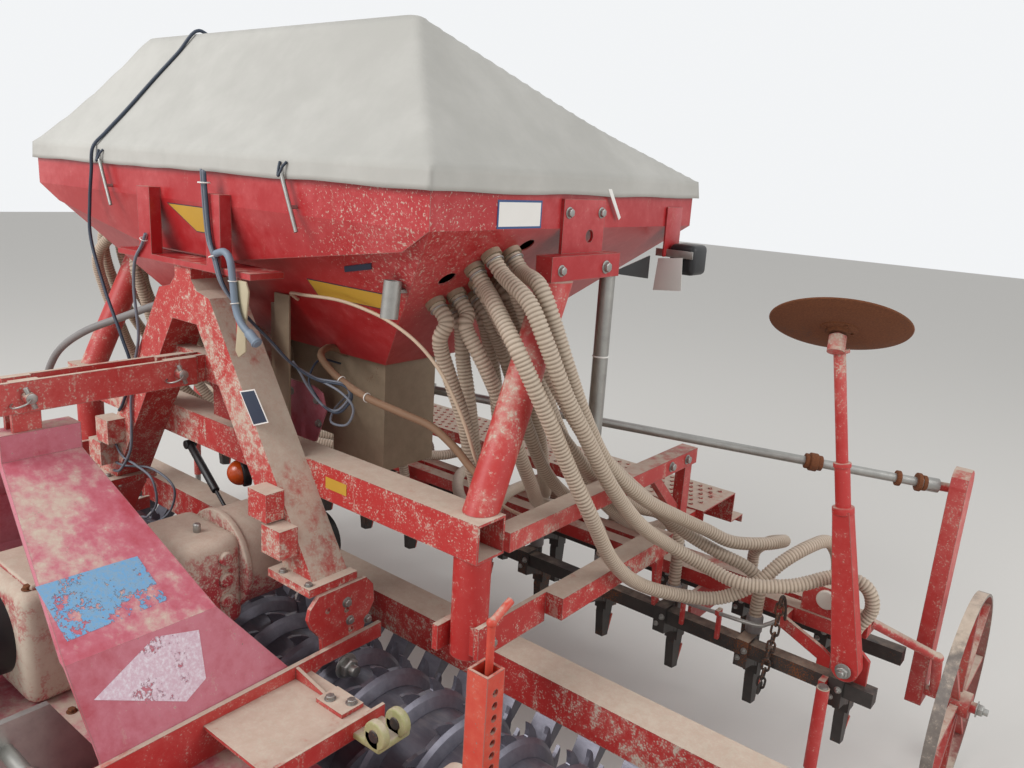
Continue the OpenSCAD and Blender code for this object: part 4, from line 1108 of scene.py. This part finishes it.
# %% Stop chain, side rod, lynch pins and pins
clear_choice()
bpy.ops.mesh.primitive_torus_add(major_radius=0.010, minor_radius=0.0032, major_segments=24,
                                 minor_segments=10)
link = bpy.context.object
for vert in link.data.vertices:
    if vert.co.y > 0.0001:
        vert.co.y += 0.007
    elif vert.co.y < -0.0001:
        vert.co.y -= 0.007
bpy.ops.object.shade_smooth()
CHAIN = [(1275, 868, 596), (1271, 867, 515), (1264, 866, 440), (1258, 866, 380), (1253, 866, 336)]
chain_line = smooth_line([at(*place) for place in CHAIN], 0.0265)
link_moves = []
for i, place in enumerate(chain_line):
    down = (chain_line[min(i + 1, len(chain_line) - 1)] - chain_line[max(i - 1, 0)]).normalized()
    across = Vector(RIGHT if i % 2 else REAR)
    across = (across - across.dot(down) * down).normalized()
    turned = Matrix((across, down, -down.cross(across))).transposed().to_4x4()
    link_moves.append(Matrix.Translation(place) @ turned)
copies(link, link_moves, "stop_chain", dark_steel)


def bent_rod(name, places, step, radius, sides, finish):
    line = smooth_line([at(*place) for place in places], step)
    set_piece(tube_along(name, line, [radius] * len(line), sides), name, finish)


bent_rod("chain_hook", [(1275, 920, 524), (1275, 908, 570), (1275, 888, 602), (1275, 868, 608),
         (1275, 858, 596)], 0.004, 0.004, 10, dark_steel)
bent_rod("side_rod", [(1004, 876, 492), (1014, 862, 496), (1110, 860, 503), (1221, 862, 510),
         (1250, 864, 524), (1270, 867, 540)], 0.006, 0.0055, 12, zinc)
clips = [cast_block((1000, 868, 420), (1012, 880, 498), 0.002),
         cast_block((1108, 854, 496), (1120, 868, 512), 0.002),
         cast_block((1108, 868, 420), (1120, 880, 512), 0.002)]
set_piece(join_all(clips), "rod_clips", frame_paint)
clear_choice()
bpy.ops.mesh.primitive_torus_add(major_radius=0.021, minor_radius=0.0022, major_segments=36,
                                 minor_segments=8)
bpy.ops.object.shade_smooth()
lynch = join_all([bpy.context.object, cylinder(0.0055, 0.052, 0.0015, (0, 0.021, 0))])
lynch_moves = []
for y in (-60, -410):
    for side_of in (-1, 1):
        lynch_moves.append(Matrix.Translation(at(side_of * 52, y, 1095))
                           @ Matrix.Rotation(math.radians(20), 4, "X") @ Matrix.Translation((0, -0.021, 0)))
copies(lynch, lynch_moves, "lynch_pins", zinc)
pins = [cast_round((0, y, 1095), RIGHT, 12.5, 122, 0.003, 32) for y in (-60, -410)]
set_piece(join_all(pins), "link_pin_ends", zinc)
print("chain links", len(link_moves))

# %% [markdown]
# Small castings near the roller: a double lug that waits for the marker's hinge and a strap ring for the
# side plate's tube. The lug is two rounded plates on a web; the ring is half a spun band.

# %% Double lug and strap ring
lug_paint = worn_paint("lug_paint", "9a9a6a", "b0aa86", 0.6, 0.9, 0.4, 0.55)
for side_of, word in SIDES:
    lug_parts = [cast_block((826, -150, 502), (880, -62, 520), 0.006, lug_paint)]
    for y in (-142, -86):
        lug_parts.append(cast_round((866, y, 540), REAR, 30, 18, 0.004, 40, lug_paint))
        lug_parts.append(cast_block((838, y - 9, 508), (880, y + 9, 545), 0.004, lug_paint))
        lug_parts.append(cast_round((866, y, 540), REAR, 13, 24, 0.002, 28, dark_steel))
    lug_parts.append(cast_block((794, -146, 498), (840, -66, 512), 0.004, lug_paint))
    set_piece(on_side(side_of, join_all(lug_parts)), f"double_lug_{word}", None)
    band = spun(f"strap_ring_{word}", [(0.044, -0.028), (0.054, -0.028), (0.054, 0.028), (0.044, 0.028)], 48)
    edit_all()
    bpy.ops.mesh.bisect(plane_co=(0, -0.012, 0), plane_no=REAR, clear_inner=True, use_fill=True)
    bpy.ops.object.mode_set(mode="OBJECT")
    band.data.transform(Matrix.Translation(at(1036, -100, 468)) @ Matrix.Rotation(math.radians(90), 4, "X"))
    strap = [band, cast_block((970, -215, 420), (1102, -72, 432), 0.003)]
    for x in (978, 1084):
        strap.append(cast_block((x, -126, 430), (x + 10, -74, 470), 0.002))
    set_piece(on_side(side_of, join_all(strap)), f"strap_ring_{word}", frame_paint)
print("lugs and rings", 4)

# %% [markdown]
# The tread plate has rows of pressed studs, and its lower step the same. The round cap on the coulter
# frame's block, the joint at the end of the drive shaft and the collars on the marker's arm finish the rear.

# %% Studs, caps, shaft joint and collars
clear_choice()
bpy.ops.mesh.primitive_cylinder_add(vertices=12, radius=0.0065, depth=0.005)
stud = bpy.context.object
edit_faces(stud, lambda normal: normal.z > 0.9)
bpy.ops.mesh.inset(thickness=0.003)
bpy.ops.transform.translate(value=(0, 0, -0.0025))
bpy.ops.object.mode_set(mode="OBJECT")
stud_moves = []
for i in range(-26, 27):
    for j in range(6):
        stud_moves.append(Matrix.Translation(at(i * 34 + 17 * (j % 2), 1105 + 33 * j, 682)))
for i in range(-26, 27):
    stud_moves.append(Matrix.Translation(at(i * 34, 1344, 586)))
copies(stud, stud_moves, "tread_studs", beam_paint)
caps = [cast_round((side_of * 1354, 979, 590), FRONT, 26, 14, 0.004, 40) for side_of in (-1, 1)]
set_piece(join_all(caps), "round_caps", cap_plastic)
SHAFT_NEAR = Vector((1520, 1290, 872))
SHAFT_FAR = Vector((240, 545, 1008))
SHAFT_WAY = (SHAFT_NEAR - SHAFT_FAR).normalized()
joint = []
for from_end, radius, depth, soft in ((52, 21, 12, 0.002), (66, 25, 12, 0.002), (120, 21, 12, 0.002),
                                      (330, 21, 16, 0.003), (346, 25, 22, 0.003), (362, 21, 14, 0.003)):
    joint.append(cast_round(SHAFT_NEAR - SHAFT_WAY * from_end, SHAFT_WAY, radius, depth, soft, 32))
set_piece(join_all(joint), "shaft_collars", rust_plate, "drive_shaft")
for side_of, word in SIDES:
    clear_choice()
    collars = []
    for height, radius, depth in ((0.400, 0.026, 0.018), (0.512, 0.021, 0.012), (0.786, 0.023, 0.010)):
        collars.append(cylinder(radius, depth, 0.002, (0, 0, height), 32))
    collar_set = join_all(collars)
    collar_set.data.transform(ARM_MOVE)
    on_side(side_of, collar_set)
    set_piece(collar_set, f"arm_collars_{word}", frame_paint, f"marker_{word}")
print("studs", len(stud_moves))

# %% [markdown]
# Below the apron a short length of pipe stands out of the hopper's front corner: a sight tube, cut square.
# A tube has two walls, so the outline of its section is spun about its own axis.

# %% Pipe stub on the hopper
stub = spun("pipe_stub", [(0.0155, 0.0), (0.019, 0.0), (0.019, 0.078), (0.0155, 0.078)], 40)
stub.data.transform(towards(at(655, 60, 1317), (0.02, 0.1, 1)))
stub = join_all([stub, cast_block((646, 70, 1368), (666, 112, 1376), 0.001)])
set_piece(stub, "pipe_stub", zinc)
print("stub", [round(v, 3) for v in stub.dimensions])

# %% [markdown]
# Behind the A-frame two dusty strips and a drilled plate stand on the main beam, a gas strut holds the
# harrow's cover, and an orange reflector hangs in its cup below the beam. They are small, but without them
# the frame looks empty.

# %% Strips, drilled plate, strut and reflector
strips = [cast_block((140, 146, 925), (200, 152, 1296), 0.001),
          cast_block((92, 170, 925), (132, 176, 1262), 0.001)]
set_piece(join_all(strips), "back_strips", dull_sheet)
folded_plate("back_plate", [(56, 236, 836), (201, 236, 897), (242, 236, 990), (226, 236, 1035),
             (192, 236, 1048), (72, 236, 1048)], FRONT, 0.006, harrow_paint)
BOLT_PLACES = [(96, 1016), (206, 1012), (110, 884), (214, 950)]
plate_bolts = [towards(at(x, 230, z), FRONT, 0.009) for x, z in BOLT_PLACES]
copies(bolt, plate_bolts, "back_plate_bolts", zinc)
STRUT_WAY = (257, -40, -128)
strut = [cast_round((-118, 88, 770), STRUT_WAY, 11, 190, 0.003, 28),
         cast_round((0, 70, 711), STRUT_WAY, 5, 150, 0.001, 20),
         cast_round((-206, 102, 814), REAR, 13, 30, 0.002, 24),
         cast_round((70, 59, 676), REAR, 13, 30, 0.002, 24)]
set_piece(join_all(strut), "gas_strut", black_plastic)
LENS_WAY = (-0.35, -0.9, -0.1)
clear_choice()
bpy.ops.mesh.primitive_uv_sphere_add(segments=40, ring_count=20, radius=0.036, location=(0, 0, 0))
edit_all()
bpy.ops.mesh.bisect(plane_co=(0, 0, 0), plane_no=UP, clear_inner=True, use_fill=True)
bpy.ops.transform.resize(value=(1, 1, 0.55))
bpy.ops.object.mode_set(mode="OBJECT")
bpy.ops.object.shade_smooth_by_angle(angle=math.radians(40))
lens = bpy.context.object
lens.data.transform(towards(at(-14, 139, 772), LENS_WAY))
lens.data.materials.append(orange_lens)
cup = cast_round((-10, 150, 773), LENS_WAY, 42, 22, 0.004, 48, black_plastic)
hanger = cast_block((-20, 142, 800), (0, 162, 842), 0.002, black_plastic)
set_piece(join_all([lens, cup, hanger]), "reflector", None)
for pattern in (bolt, nut, plug, ring, cuff, tip, link, lynch, stud):
    bpy.data.objects.remove(pattern)
print("parts behind the frame", 5)

# %% [markdown]
# A plain pale floor and soft light show the machine without a mood of their own. The world is brighter for
# the camera and for mirror-like rays than for light that falls on the machine, through a Light Path node,
# so the background is pale and no extra light falls on the metal.

# %% Floor, world and lamps
bpy.ops.object.select_all(action="DESELECT")
bpy.ops.mesh.primitive_plane_add(size=40, location=(0, 0, 0))
floor = bpy.context.object
floor.name = "floor"
pale = Finish("pale_floor", 0.1)
floor.data.materials.append(pale.use(Base_Color=tint("dcd9d4"), Roughness=0.9))
world = bpy.data.worlds.new("studio")
bpy.context.scene.world = world
world.use_nodes = True
tree = world.node_tree
sky = tree.nodes["Background"]
path = tree.nodes.new("ShaderNodeLightPath")
seen = tree.nodes.new("ShaderNodeMath")
seen.operation = "MAXIMUM"
strength = tree.nodes.new("ShaderNodeMapRange")
strength.inputs["To Min"].default_value = 0.62
strength.inputs["To Max"].default_value = 0.92
for source, target in ((path.outputs["Is Camera Ray"], seen.inputs[0]),
                       (path.outputs["Is Glossy Ray"], seen.inputs[1]),
                       (seen.outputs[0], strength.inputs["Value"]),
                       (strength.outputs[0], sky.inputs["Strength"])):
    tree.links.new(source, target)
sky.inputs["Color"].default_value = (0.97, 0.985, 1.0, 1.0)


def soft_lamp(name, spot, target, size, power):
    data = bpy.data.lights.new(name, "AREA")
    data.size = size
    data.energy = power
    lamp = added(name, data)
    lamp.location = spot
    lamp.rotation_euler = (Vector(target) - Vector(spot)).to_track_quat("-Z", "Y").to_euler()


soft_lamp("key", (-1.5, -4.5, 4.6), (0, 0, 0.9), 3.2, 260)
soft_lamp("fill", (4.8, 1.2, 3.2), (0.6, 0.2, 0.9), 3.0, 90)
bpy.context.scene.view_settings.view_transform = "Standard"
print("lamps", len(bpy.data.lights))
